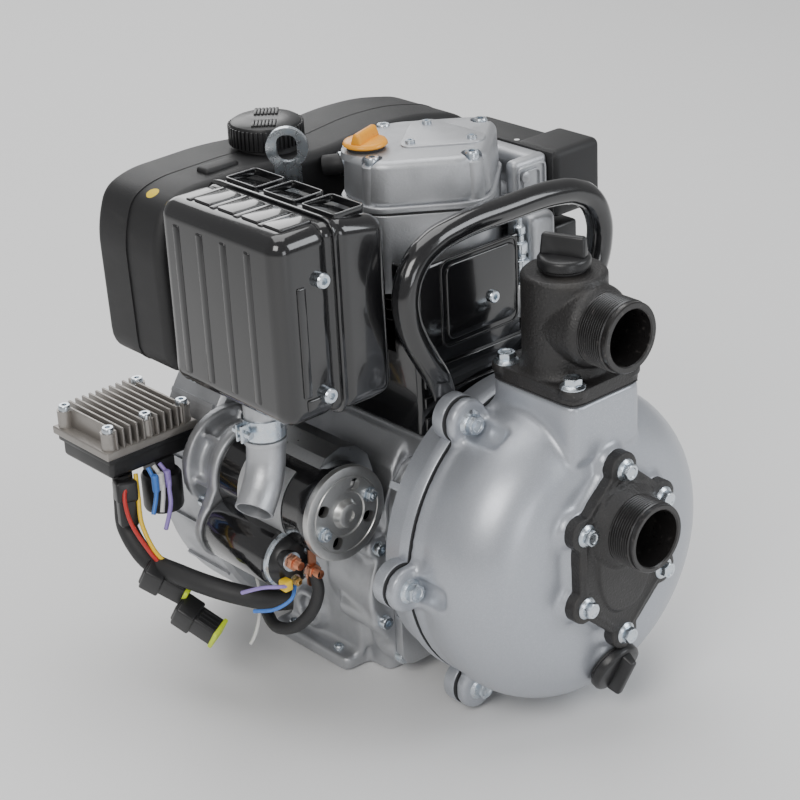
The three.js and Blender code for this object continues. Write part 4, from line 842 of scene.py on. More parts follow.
class FIREPUMP_OT_casing(bpy.types.Operator):
    """Model the pump casing, its adaptor plate and the gasket between them"""

    bl_idname = "firepump.casing"
    bl_label = "Pump Casing"

    def execute(self, context):
        grain = context.scene.fire_pump_sizes.casting_grain / MM
        rim = [(0, FLANGE_BACK), (FLANGE_RADIUS, FLANGE_BACK), (FLANGE_RADIUS, FLANGE_FRONT + 1.5),
               (FLANGE_RADIUS - 1.5, FLANGE_FRONT)]
        shell = turned([*rim, *dome_line(), (0, -203)], CRANK_LINE, steps=128)
        lugs = [rod("Y", 20, FLANGE_FRONT - 1, FLANGE_BACK, place, 40) for place in LUGS]
        webs = [gusset(place) for place in LUGS]
        pad = cover_plate(PAD_FACE, PAD_FACE + 20, 1.5)
        block = raised(oblong((-40, 40), (-202.5, -107.5), 12), "Z", 250, ELBOW_SEAT - 1.6)
        seat = facing(DRAIN_AXIS, DRAIN_SEAT)
        boss = moved(turned([(0, -40), (31, -40), (26, -22), (21.5, -10), (21, 0), (0, 0)], axis="Z"), seat)
        casing = join("casing_shell", shell, *lugs, *webs, pad, block, boss)
        tools = [turned([(0, FLANGE_BACK + 1), (127, FLANGE_BACK + 1), (127, FLANGE_FRONT), *dome_line(9),
                         (0, -194)], CRANK_LINE, steps=96)]
        tools += [rod("Y", 12.6, FLANGE_FRONT - 34, FLANGE_FRONT - 1.2, place, 32) for place in LUGS]
        tools += [rod("Y", 24, PAD_FACE - 2, -190, INLET, 48), rod("Z", 26, 240, 302, ELBOW_PLACE, 40)]
        cast(casing, grain, 3)
        carve(casing, *tools)
        cast(casing, grain, 9)
        dress(casing, "silver_paint", "silver_paint", stands_for=["pump_casing"], angle=60)
        ring_front, skirt_back = -105.4, -46
        plate = turned([(24, ring_front), (136.4, ring_front), (137, ring_front + 0.8), (137, -95),
                        (135, -93.4),
                        (133.5, -92), (132, -74), (124, -74), (124, -93.4), (72, -93.4), (60, -81),
                        (60, skirt_back), (16, skirt_back), (16, -91), (24, -91)], CRANK_LINE, steps=128)
        ears = [eased(rod("Y", 20, ring_front, -93.4, place, 40), 0.9) for place in LUGS]
        ribs = [moved(box((-3, 3), (-92, -60), (60, 128)), Matrix.Translation((0, 0, CRANK_HEIGHT))
                      @ Matrix.Rotation(math.radians(60 * i), 4, "Y")) for i in range(6)]
        adaptor = join("adaptor_plate", plate, *ears, *ribs)
        dress(adaptor, "silver_paint", "silver_paint", stands_for=["pump_adaptor"])
        sheet = turned([(126.5, -106.7), (136.6, -106.7), (136.6, -105.7), (126.5, -105.7)], CRANK_LINE,
                       steps=96)
        tabs = [rod("Y", 19.6, -106.7, -105.7, place, 40) for place in LUGS]
        dress(join("casing_seal", sheet, *tabs), "gasket_paper", "gasket_paper",
              stands_for=["casing_gasket"])
        return {"FINISHED"}


class FIREPUMP_OT_suction(bpy.types.Operator):
    """Model the suction cover with its raised ribs and its threaded port"""

    bl_idname = "firepump.suction"
    bl_label = "Suction Cover"

    def execute(self, context):
        sizes = context.scene.fire_pump_sizes
        plate = cover_plate(COVER_FRONT, COVER_BACK)
        outer = carve(cast(cover_plate(COVER_FRONT - 1.5, COVER_BACK - 1, -5.5, 12), 1.2, 1),
                      cast(cover_plate(COVER_FRONT - 4, COVER_BACK + 1, -8.5, 10), 1.2, 1))
        rail = rounded([(-27, 226), (-33, 190), (-31, 140), (-16, 112), (16, 112), (31, 140), (33, 190),
                        (27, 226)], 16)
        inner = raised(rail, "Y", COVER_FRONT - 2.4, COVER_BACK - 1)
        hub = turned([(0, COVER_BACK - 1), (38, COVER_BACK - 1), (38, COVER_FRONT - 2),
                      (36, COVER_FRONT - 4),
                      (31.8, COVER_FRONT - 8), (29.6, COVER_FRONT - 10), (0, COVER_FRONT - 10)], INLET,
                     steps=80)
        pads = [rod("Y", 11.5, COVER_FRONT - 0.7, COVER_BACK - 1, place, 32) for place in COVER_BOLTS]
        body = join("suction_plate", plate, outer, inner, hub, *pads)
        cast(body, 1.15, 3)
        carve(body, rod("Y", 24.1, COVER_FRONT - 40, COVER_BACK + 2, INLET, 64))
        pitch, depth = sizes.thread_pitch / MM, sizes.thread_depth / MM
        sleeve = turned([(24.1, COVER_FRONT - 6), (29.4, COVER_FRONT - 6), (29.8, COVER_FRONT - 9.5),
                         *threaded(29.8, COVER_FRONT - 10, INLET_FACE + 3.5, pitch, depth),
                         (28.9, INLET_FACE + 3.2), (28.9, INLET_FACE + 0.8), (28.2, INLET_FACE),
                         (25.2, INLET_FACE), (24.1, INLET_FACE + 1.1)], INLET, steps=96,
                        name="suction_thread")
        dress(sleeve, "thread_black", "black_cast_iron", angle=28)
        dress(body, "black_casting", "black_cast_iron", stands_for=["suction_cover"], angle=60)
        return {"FINISHED"}


class FIREPUMP_OT_discharge(bpy.types.Operator):
    """Model the discharge elbow with its flange and its threaded port"""

    bl_idname = "firepump.discharge"
    bl_label = "Discharge Elbow"

    def execute(self, context):
        sizes = context.scene.fire_pump_sizes
        foot = raised(oblong((-40, 40), (-202.5, -107.5), 12), "Z", ELBOW_SEAT, ELBOW_SEAT + 12)
        column = turned([(0, ELBOW_SEAT + 1), (38.5, ELBOW_SEAT + 11), (36.5, ELBOW_SEAT + 15),
                         (35, ELBOW_SEAT + 20),
                         (35, ELBOW_TOP - 2.5), (32.5, ELBOW_TOP), (0, ELBOW_TOP)], ELBOW_PLACE, "Z", 80)
        branch = turned([(0, -155), (34, -155), (34, -189), (33, -193), (29.6, -197), (0, -197)], OUTLET,
                        steps=80)
        pads = [rod("Z", 12, ELBOW_SEAT + 6, ELBOW_SEAT + 12.6, (x, -155 + y), 32) for x in (-30,
            30) for y in (-37, 37)]
        body = join("elbow_body", foot, column, branch, *pads)
        cast(body, 1.25, 4)
        well = turned([(0, ELBOW_SEAT - 1), (27, ELBOW_SEAT - 1), (27, 356), (24, 373), (14.4, 384),
                       (14.4, ELBOW_TOP + 1), (0, ELBOW_TOP + 1)], ELBOW_PLACE, "Z", 64)
        carve(body, well, rod("Y", 23.2, OUTLET_FACE - 10, -155, OUTLET, 64))
        pitch, depth = sizes.thread_pitch / MM, sizes.thread_depth / MM
        sleeve = turned([(23.2, -192), (29.4, -192), (29.8, -196.5),
                         *threaded(29.8, -197, OUTLET_FACE + 5, pitch, depth),
                         (29.0, OUTLET_FACE + 4.6), (29.0, OUTLET_FACE + 0.9), (28.2, OUTLET_FACE),
                         (24.2, OUTLET_FACE), (23.2, OUTLET_FACE + 1)], OUTLET, steps=96,
                        name="discharge_thread")
        dress(sleeve, "thread_black", "black_cast_iron", angle=28)
        dress(body, "black_casting", "black_cast_iron", stands_for=["discharge_elbow"], angle=60)
        return {"FINISHED"}


class FIREPUMP_OT_bolts(bpy.types.Operator):
    """Model the zinc flange bolts of the casing, the suction cover and the discharge elbow"""

    bl_idname = "firepump.bolts"
    bl_label = "Flange Bolts"

    def execute(self, context):
        groups = {"casing_bolt": (6, 11.4, 9.5, (0, -1, 0), 1, FLANGE_FRONT, "casing_head"),
                  "suction_bolt": (6, 9.6, 8.0, (0, -1, 0), 1, COVER_FRONT - 0.5, "suction_head"),
                  "discharge_bolt": (4, 10.6, 8.6, (0, 0, 1), 2, ELBOW_SEAT + 12.3, "discharge_head")}
        for stem, (count, flange, height, direction, axis, seat, name) in groups.items():
            pattern = hex_bolt(flange, height, "bolt_pattern")
            for i in range(1, count + 1):
                place = middle(f"{stem}_{i}")
                place[axis] = seat
                bolt = copied(pattern, f"{name}_{i}", facing(direction, place, 23 * i))
                dress(bolt, "zinc", "zinc_plate", stands_for=[f"{stem}_{i}"], angle=30)
            bpy.data.objects.remove(pattern)
        return {"FINISHED"}


def screw_lid(radius, thickness, wing_height, wing_top, name):
    """A moulded screw cap about +Z: a rounded disc with a tapered finger wing."""
    rim = 2.6
    disc = turned([(0, rim), (radius - 2, rim), (radius, rim + 1.4), (radius, rim + thickness - 2.6),
                   (radius - 1.1, rim + thickness - 0.8), (radius - 3.2, rim + thickness),
                   (0, rim + thickness + 0.8)],
                  axis="Z", steps=72)
    plug = rod("Z", radius * 0.56, -8, rim + 1, sides=40)
    wing = box((-radius + 2.2, radius - 2.2), (-5.4, 5.4), (rim + thickness - 1,
                                                            rim + thickness + wing_height))
    top = rim + thickness + wing_height
    for vertex in wing.data.vertices:
        if vertex.co.z > (top - 1) * MM:
            vertex.co.y *= wing_top
            vertex.co.x *= 0.94
    eased(wing, 2.2, 4)
    return join(name, disc, plug, wing)


class FIREPUMP_OT_caps(bpy.types.Operator):
    """Model the priming cap, the drain cap and the seal rings under them"""

    bl_idname = "firepump.caps"
    bl_label = "Screw Caps"

    def execute(self, context):
        top = facing(UP, (0, -155, ELBOW_TOP), -67)
        lid = moved(screw_lid(21.5, 10, 16.5, 0.55, "priming_lid"), top)
        dress(lid, "moulded_plastic", "black_plastic", "priming_plug", ["priming_cap"])
        drain = facing(DRAIN_AXIS, DRAIN_SEAT, 0)
        upright = 0 if abs((drain @ Vector((1, 0, 0)) - drain.translation).z) > 0.5 else 90
        knob = moved(screw_lid(24, 9, 11, 0.6, "drain_knob"), facing(DRAIN_AXIS, DRAIN_SEAT, upright))
        dress(knob, "moulded_plastic", "black_plastic", "drain_plug", ["drain_cap"])
        for name, radius, hole, place, body, node in (
                ("priming_washer", 18.5, 14.5, top, "priming_ring", "priming_cap_seal"),
                ("drain_washer", 21, 12.6, drain, "drain_ring", "drain_cap_seal")):
            ring = moved(turned([(hole, 0.4), (radius, 0.4), (radius + 0.3, 1.3), (radius, 2.2),
                                 (hole, 2.2)],
                                axis="Z", steps=56, name=name), place)
            dress(ring, "rubber", "seal_rubber", body, [node])
        return {"FINISHED"}


class FIREPUMP_OT_handle(bpy.types.Operator):
    """Bend the carry handle from tube and flatten its two ends behind the casing's lugs"""

    bl_idname = "firepump.handle"
    bl_label = "Carry Handle"

    def execute(self, context):
        line = span("carry_handle")
        depth, top = -89.5, line[2][1] - 11
        side = [(72, 262), (72.5, 276), (74, 292), (81, 309), (91, 327), (102, 348), (109, 370),
                (108.5, 390),
                (98, 410), (81, 421), (60, 426)]
        path = [(-x, depth, z) for x, z in side] + [(0, depth, top)] + [(x, depth, z) for x,
            z in reversed(side)]
        tube = swept(path, context.scene.fire_pump_sizes.handle_tube / MM, "handle_bar", 32, 12)
        plate_depth, full, flat = -90.1, 314, 284
        for vertex in tube.data.vertices:
            share = min(1, max(0, (full - vertex.co.z / MM) / (full - flat)))
            share = share * share * (3 - 2 * share)
            round_y = vertex.co.y / MM - depth
            vertex.co.y = (depth + (plate_depth - depth) * share + round_y * (1 - share * 0.74)) * MM
        feet = []
        for turn in (-1, 1):
            pad = rod("Y", 14, -93.1, -87.1, (turn * 72, 268), 40)
            feet.append(eased(pad, 1.2))
        dress(join("handle_bar", tube, *feet), "black_enamel", "black_enamel", stands_for=["carry_handle"],
              angle=50)
        return {"FINISHED"}


# ---------------------------------------------------------------- engine
DECK = span("cylinder_head")[2][0]
HEAD_TOP = span("cylinder_head")[2][1]
ROCKER_TOP = span("rocker_cover")[2][1]
OIL_PLACE = (-50, 20)
CASE_WIDTH = 92


def frame_rib(a, b, axis, low, high, width=2.2, corner=6, name="rib_frame"):
    """A raised rectangular frame with rounded corners."""
    rim = raised(oblong(a, b, corner), axis, low, high, name)
    inside = raised(oblong((a[0] + width, a[1] - width), (b[0] + width, b[1] - width),
                           max(1, corner - width)),
                    axis, low - 1, high + 1)
    return eased(carve(rim, inside), 0.5, 2, 50)


def head_outline(grow=0.0):
    """A rounded diamond, wider round the oil filler."""
    a, b, c = 76 + grow, 64 + grow, 12
    x, y = OIL_PLACE
    return rounded([(-a, -c - 4), (-c, -b), (c, -b), (a, -c + 3), (a, c + 3), (c, b), (-c, b),
                    (x - 4, y + 23.5 + grow), (x - 21.5 - grow, y + 10), (-a, c)], 16, 6)


def screw_head(radius, height, name="screw_head"):
    """A small round screw with a hexagon socket, on the X-Y plane."""
    head = turned([(0, -2), (radius, -2), (radius, height * 0.7), (radius * 0.86, height), (0, height)],
                  axis="Z", steps=24, name=name)
    return carve(head, rod("Z", radius * 0.5, height * 0.4, height + 1, sides=6))


def placed_screws(stem, radius, height, places, direction, finish_name="zinc", slot="zinc_plate"):
    """Copies of one screw, facing a direction at each place."""
    pattern = screw_head(radius, height, "screw_pattern")
    for i, place in enumerate(places):
        dress(copied(pattern, f"{stem}_{i + 1}", facing(direction, place, 17 * i)), finish_name, slot,
              angle=30)
    bpy.data.objects.remove(pattern)


class FIREPUMP_OT_crankcase(bpy.types.Operator):
    """Model the cast crankcase with its feet, flanges and bolt bosses"""

    bl_idname = "firepump.crankcase"
    bl_label = "Crankcase"

    def execute(self, context):
        outline = rounded([(-CASE_WIDTH, 13), (CASE_WIDTH, 13), (CASE_WIDTH, 185), (62, 236), (-62, 236),
                           (-CASE_WIDTH, 185)], 18)
        body = raised(outline, "Y", -30, 112)
        flange = raised(rounded([(-104, 40), (-88, 14), (88, 14), (104, 40), (104, 140), (88, 196),
                                 (60, 232),
                                 (-60, 232), (-88, 196), (-104, 140)], 14), "Y", -22, -12)
        feet = raised(oblong((-115, 115), (8, 114), 9), "Z", 0, 14)
        pan = raised(oblong((-88, 88), (-18, 108), 9), "Z", 0, 16)
        deck = box((-66, 66), (-60, 66), (212, 236))
        boss = turned([(0, 100), (92, 100), (84, 116), (84, 127.7), (0, 127.7)], CRANK_LINE)
        swells = [turned([(0, -30), (70, -30), (66, -20), (58, 40), (0, 60)], (x, z)) for x,
                  z in ((-46, 88), (46, 88))]
        bosses = [rod("Y", 11, -30, 20, place) for place in ((-103, 137), (-101, 64), (101, 137), (101, 64))]
        ribs = [box((x - 3, x + 3), (4, 104), (14, 118)) for x in (-97, 97)]
        ribs += [box((-98, 98), (y - 3, y + 3), (14, 100)) for y in (36, 78)]
        collar = [turned([(0, -97), (19, -97), (19, -108), (15, -110), (0, -110)], (68, 40), "X")]
        case = join("crankcase_casting", body, flange, feet, pan, deck, boss, *swells, *bosses, *ribs,
                    *collar)
        cast(case, 2.6, 4)
        crank_room = box((-78, 78), (-20, 102), (28, 196))
        piston_room = rod("Z", 47, 190, 240, (0, 0), 64)
        hollow(case, rod("Y", 46, -31, 113, (-128, 205)), crank_room, piston_room, rod("X", 12, -114, -99, (68, 40)))
        cast(case, 2.4, 2)
        dress(case, "bare_casting", "cast_aluminium", stands_for=["crankcase"], angle=60)
        placed_screws("case_screw", 6.2, 6, [(-103, -30, 137), (-101, -30, 64), (-84, -30.5, 22),
                                             (103, -30, 137),
                                             (101, -30, 64), (84, -30.5, 22)], (0, -1, 0))
        placed_screws("foot_plug", 5, 3, [(-105, 30, 14), (-105, 92, 14), (105, 30, 14), (105, 92, 14)], UP)
        plate = raised(rounded([(-89, 15), (89, 15), (89, 180), (70, 211.4), (-70, 211.4), (-89, 180)], 16),
                       "Y",
                       -39.5, -30.3)
        hub = turned([(0, -45.5), (60, -45.5), (63, -43), (66, -36), (0, -36)], CRANK_LINE)
        ribs = [moved(box((-2.5, 2.5), (-43, -36), (58, 100)), Matrix.Translation((0, 0, CRANK_HEIGHT))
                      @ Matrix.Rotation(math.radians(45 * i), 4, "Y")) for i in (2, 3, 4, 5, 6)]
        carve(plate, rod("Y", 46, -50, -20, (-128, 205)), rod("Y", 15, -50, -20, CRANK_LINE))
        carve(hub, rod("Y", 15, -50, -20, CRANK_LINE))
        cover = join("crankcase_lid", plate, hub, *ribs)
        dress(eased(cover, 1.2, 2, 40), "bare_casting", "cast_aluminium", stands_for=["crankcase_cover"])
        return {"FINISHED"}


class FIREPUMP_OT_head(bpy.types.Operator):
    """Model the cylinder, its head, the rocker cover and the orange oil filler cap"""

    bl_idname = "firepump.head"
    bl_label = "Cylinder Head"

    def execute(self, context):
        fins = [(49, 213), (49, 236.3), (58, 236.3), (58, 250), (50, 250)]
        for z in range(256, 348, 9):
            fins += [(50, z), (62, z + 0.6), (62, z + 2), (50, z + 2.8)]
        fins += [(58, 349), (58, 355.7), (43, 355.7), (43, 213)]
        dress(turned(fins, axis="Z", steps=80, name="cylinder_fins"), "black_casting", "cast_iron",
              stands_for=["cylinder_barrel"])
        head = raised(head_outline(-1), "Z", DECK, HEAD_TOP - 0.7, "head_casting")
        eased(head, 2, 3)
        ports = [turned([(0, 60), (24, 60), (24, 74), (21, 77), (0, 77)], (0, 392), "X"),
                 turned([(0, -60), (24, -60), (24, -74), (21, -77), (0, -77)], (10, 392), "X")]
        join("head_casting", head, *ports)
        dress(head, "bare_casting", "cast_aluminium", stands_for=["cylinder_head"])
        gasket = raised(head_outline(-0.4), "Z", HEAD_TOP - 1.0, HEAD_TOP + 0.5, "rocker_gasket")
        dress(gasket, "rubber", "gasket_paper")
        rim = eased(raised(head_outline(0.6), "Z", HEAD_TOP + 0.5, HEAD_TOP + 6), 1.3)
        upper = raised(head_outline(-2.5), "Z", HEAD_TOP + 4, ROCKER_TOP, "rocker_casting")
        for vertex in upper.data.vertices:
            if vertex.co.z > (ROCKER_TOP - 1) * MM:
                vertex.co.x *= 0.972
                vertex.co.y *= 0.968
        eased(upper, 6.5, 7, 50)
        corners = [(-1, 54), (-64, -4), (-1, -54), (63, 3)]
        pads = [turned([(0, 420), (10, 430), (9, ROCKER_TOP - 6), (8, ROCKER_TOP - 5), (0, ROCKER_TOP - 5)],
                       place, "Z", 32)
                for place in corners]
        carve(upper, *[rod("Z", 8.6, ROCKER_TOP - 6, ROCKER_TOP + 4, place, 32) for place in corners[1:]])
        lid = raised(rounded([(-34, -2), (18, 40), (36, 36), (38, -34), (18, -42)], 13), "Z", ROCKER_TOP - 1,
                     ROCKER_TOP + 1.4)
        seat = turned([(0, ROCKER_TOP - 6), (21, ROCKER_TOP - 6), (20, ROCKER_TOP - 0.4),
                       (0, ROCKER_TOP - 0.2)],
                      OIL_PLACE, "Z", 56)
        cover = join("rocker_casting", upper, rim, seat, eased(lid, 0.8, 3, 50), *pads)
        dress(cover, "bare_casting", "cast_aluminium", stands_for=["rocker_cover"])
        placed_screws("rocker_bolt", 6, 6.5, [(x, y, ROCKER_TOP - 5) for x, y in corners], UP)
        placed_screws("lid_screw", 4.2, 2.6, [(x, y, ROCKER_TOP + 1.4) for x,
                                              y in ((-20, -1), (24, 27), (22, -30))], UP)
        place = facing(UP, (*OIL_PLACE, ROCKER_TOP), 20)
        knob = moved(screw_lid(18.5, 5, 8.5, 0.5, "oil_lid"), place)
        dress(knob, "orange_plastic", "orange_plastic", "oil_plug", ["oil_filler_cap"])
        ring = moved(turned([(12.6, 0.4), (15.6, 0.4), (15.6, 2.2), (12.6, 2.2)], axis="Z", steps=48,
                            name="oil_washer"), place)
        dress(ring, "rubber", "seal_rubber", "oil_ring", ["oil_cap_seal"])
        return {"FINISHED"}


class FIREPUMP_OT_cowl(bpy.types.Operator):
    """Model the pressed cooling cowl, with the injector and pipes beside it"""

    bl_idname = "firepump.cowl"
    bl_label = "Cooling Cowl"

    def execute(self, context):
        (x0, x1), (y0, y1), (z0, z1) = span("cylinder_cowl")
        shell = eased(box((x0, x1), (y0, y1 - 0.5), (z0, z1)), 5, 4)
        room = box((x0 + 2, x1 - 2), (y0 + 2, y1 + 9), (z0 - 5, z1 + 5))
        side = box((x0 - 5, x1 + 5), (-40, y1 + 9), (314, z1 + 9))
        intake = box((34, x1 + 9), (y0 - 9, y1 + 9), (306, z1 + 9))
        cowl = carve(shell, room, side, intake)
        panel = eased(raised(oblong((-48, 30), (322, 388), 9), "Y", y0 - 1.8, y0 + 1), 1.5, 3, 50)
        frame_line = frame_rib((-54, 33), (316, 393), "Y", y0 - 0.9, y0 + 1, 2, 10)
        steps = [eased(box((-76, 76), (y0 - d, y0 + 1), (low, high)), 1.2) for d, low, high in
                 ((2.6, 250, 262), (2.0, 270, 280), (2.6, 288, 304))]
        dress(join("cowl_pressing", cowl, panel, frame_line, *steps), "black_enamel", "black_sheet",
              stands_for=["cylinder_cowl"])
        placed_screws("cowl_screw", 5.4, 4, [(2, y0 - 1.5, 347)], (0, -1, 0))
        stack = turned([(0, 345), (8.5, 345), (8.5, 366), (5.5, 367), (5.5, 371), (7.2, 372), (7.2, 381),
                        (4.2, 382),
                        (4.2, 388), (5.6, 389), (5.6, 395), (3, 396), (3, 410), (0, 411)], (42, -62), "Z", 6,
                       "injector_nuts")
        dress(eased(stack, 0.6, 2), "zinc", "zinc_plate", angle=30)
        holder = turned([(0, 318), (12, 318), (12, 340), (9.5, 346), (0, 346)], (42, -62), "Z", 32,
                        "injector_holder")
        dress(holder, "steel", "machined_steel")
        hose = swept([(42, -62, 320), (42, -64, 300), (44, -62, 280), (52, -50, 262), (60, -30, 250)], 5.5,
                     "fuel_hose")
        dress(hose, "rubber", "seal_rubber")
        clips = [turned([(5.4, z), (6.8, z), (6.8, z + 7), (5.4, z + 7)], (42, -62.5), "Z",
                        32) for z in (306, 292)]
        dress(join("hose_clips", *clips), "black_enamel", "black_sheet")
        riser = cast(join("intake_casting", eased(box((52, 84), (-66, -34), (300, 400)), 7),
                          ball((66, -52, 306), 24),
                          box((60, 100), (-58, -34), (296, 340))), 2.2, 6)
        dress(riser, "bare_casting", "cast_aluminium", angle=60)
        return {"FINISHED"}


class FIREPUMP_OT_blower(bpy.types.Operator):
    """Model the blower housing with its intake grille, and the flywheel behind it"""

    bl_idname = "firepump.blower"
    bl_label = "Blower Housing"

    def execute(self, context):
        y0, y1 = span("blower_housing")[1]
        shell = turned([(34, y0), (161, y0), (165, y0 + 4), (165, y1 - 10), (155, y1), (104, y1),
                        (100, y1 - 4), (88, y1 - 4),
                        (88, y1 - 8), (151, y1 - 8), (161, y1 - 16), (161, y0 + 4), (34, y0 + 4)],
                       CRANK_LINE, steps=112)
        floor_cut = box((-170, 170), (y0 - 2, y1 + 2), (-30, 6))
        outlet = box((-76, 76), (y0 - 1, y0 + 5), (248, 296))
        nose = rod("Y", 26, y0 - 1, y0 + 5, (-128, 205))
        vents = [moved(box((-4, 4), (y1 - 12, y1 + 2), (112, 146)), Matrix.Translation((0, 0, CRANK_HEIGHT))
                       @ Matrix.Rotation(math.radians(12 * i), 4,
                                         "Y")) for i in range(30) if not 12 <= i <= 18]
        carve(shell, floor_cut, outlet, nose, join("vent_slots", *vents))
        pads = [box((x - 14, x + 14), (y0 + 12, y1 - 12), (293, 319.7)) for x in (-60, 60)]
        shelf = box((-174, -148), (160, 198), (189, 194.7))
        ribs = [moved(box((-2, 2), (y0 + 6, y1 - 12), (162, 167.5)), Matrix.Translation((0, 0, CRANK_HEIGHT))
                      @ Matrix.Rotation(math.radians(20 * i), 4,
                                        "Y")) for i in range(18) if not 7 <= i <= 11]
        housing = join("blower_shell", eased(shell, 0.7, 2, 40), *[eased(pad, 3) for pad in pads], shelf,
                       *ribs)
        dress(housing, "bare_casting", "cast_aluminium", stands_for=["blower_housing"])
        rings = [turned([(r - 1.4, y1 - 5.4), (r + 1.4, y1 - 5.4), (r + 1.4, y1 - 2.6), (r - 1.4, y1 - 2.6)],
                        CRANK_LINE, steps=64) for r in range(20, 90, 9)]
        spokes = [moved(box((-2, 2), (y1 - 6.4, y1 - 3.6), (14, 90)),
                        Matrix.Translation((0, 0, CRANK_HEIGHT))
                        @ Matrix.Rotation(math.radians(45 * i), 4, "Y")) for i in range(8)]
        cap = turned([(0, y1 - 6.4), (20, y1 - 6.4), (20, y1 - 2), (17, y1), (0, y1)], CRANK_LINE)
        dress(join("intake_grille", cap, *rings, *spokes), "black_sheet", "black_sheet")
        placed_screws("grille_screw", 4.5, 3, [(96 * math.sin(a), y1 - 0.5, CRANK_HEIGHT + 96 * math.cos(a))
                                               for a in (math.radians(45 + 90 * i) for i in range(4))],
                      (0, 1, 0))
        wheel_front = span("flywheel_fan")[1][0]
        wheel = turned([(17.3, wheel_front), (34, wheel_front), (34, wheel_front + 8),
                        (106, wheel_front + 8),
                        (106, wheel_front), (118.5, wheel_front), (120, wheel_front + 1.5),
                        (120, wheel_front + 13),
                        (118, wheel_front + 14), (40, wheel_front + 16), (34, wheel_front + 28),
                        (17.3, wheel_front + 28)],
                       CRANK_LINE, steps=96)
        teeth = [moved(box((-1.6, 1.6), (wheel_front, wheel_front + 5), (119, 122)),
                       Matrix.Translation((0, 0, CRANK_HEIGHT))
                       @ Matrix.Rotation(math.radians(5 * i), 4, "Y")) for i in range(72)]
        blades = [moved(box((-1.5, 1.5), (wheel_front + 12, wheel_front + 48), (62, 118)),
                        Matrix.Translation((0, 0, CRANK_HEIGHT)) @ Matrix.Rotation(math.radians(36 * i), 4,
                            "Y"))
                  for i in range(10)]
        dress(join("flywheel_casting", wheel, *teeth, *[eased(blade, 0.6, 2) for blade in blades]),
              "grey_cast",
              "cast_iron", "crankshaft", ["flywheel_fan"])
        return {"FINISHED"}


class FIREPUMP_OT_tank(bpy.types.Operator):
    """Model the moulded fuel tank and its ribbed cap"""

    bl_idname = "firepump.tank"
    bl_label = "Fuel Tank"

    def execute(self, context):
        y0, y1 = span("fuel_tank")[1]
        side = rounded([(-214, 298), (-150, 288), (-128, 326), (-108, 320), (128, 320), (148, 342),
                        (146, 420),
                        (120, 443), (67, 454), (20, 455), (-40, 448), (-107, 454), (-180, 452), (-206, 443),
                        (-217, 410)], 20, 6)
        body = eased(raised(side, "Y", y0, y1, "tank_moulding"), 12, 7, 40)
        seam = raised([(x * 1.006, z + 0.3) for x, z in side], "Y", (y0 + y1) / 2 - 1.2, (y0 + y1) / 2 + 1.2)
        neck = turned([(0, 440), (29, 440), (26, 449), (25, 455.4), (0, 455.4)], (-68, 128), "Z", 64)
        hump = eased(box((-150, -116), (104, 120), (448, 457)), 3, 3)
        dress(join("tank_moulding", body, seam, neck, hump), "tank_plastic", "tank_plastic",
              stands_for=["fuel_tank"])
        z0 = 456.4
        disc = turned([(0, z0), (30.6, z0), (30.6, z0 + 15), (29.4, z0 + 18.6), (27, z0 + 20),
                       (14, z0 + 20.4), (0, z0 + 20.5)],
                      (-68, 128), "Z", 96, "fuel_lid")
        grips = [moved(eased(box((-1.1, 1.1), (30, 32.4), (z0 + 0.6, z0 + 17)), 0.5, 2),
                       Matrix.Translation((-68, 128, 0))
                       @ Matrix.Rotation(math.radians(7.5 * i), 4, "Z")) for i in range(48)]
        bars = [moved(eased(box((x - 1.3, x + 1.3), (low, high), (z0 + 19, z0 + 21.7)), 0.5, 2),
                      Matrix.Translation((-68, 128, 0)) @ Matrix.Rotation(math.radians(-42), 4, "Z"))
                for low, high in ((-25, -8), (8, 25)) for x in range(-9, 10, 3)]
        dress(join("fuel_lid", disc, *grips, *bars), "moulded_plastic", "black_plastic", "fuel_plug",
              ["fuel_cap"])
        hose = swept([(-40, 88, 436), (-30, 76, 438), (-12, 70, 436), (6, 70, 430), (20, 76, 420)], 9,
                     "tank_hose", 20)
        dress(hose, "rubber", "seal_rubber")
        clip = moved(turned([(9.3, -4), (10.3, -4), (10.3, 4), (9.3, 4)], axis="Z", steps=40),
                     facing((1, -0.4, 0.1), (-28, 75, 438)))
        ear = eased(box((-33, -25), (68, 72), (446, 455)), 1)
        dress(join("hose_clamp", clip, ear), "zinc", "zinc_plate")
        return {"FINISHED"}


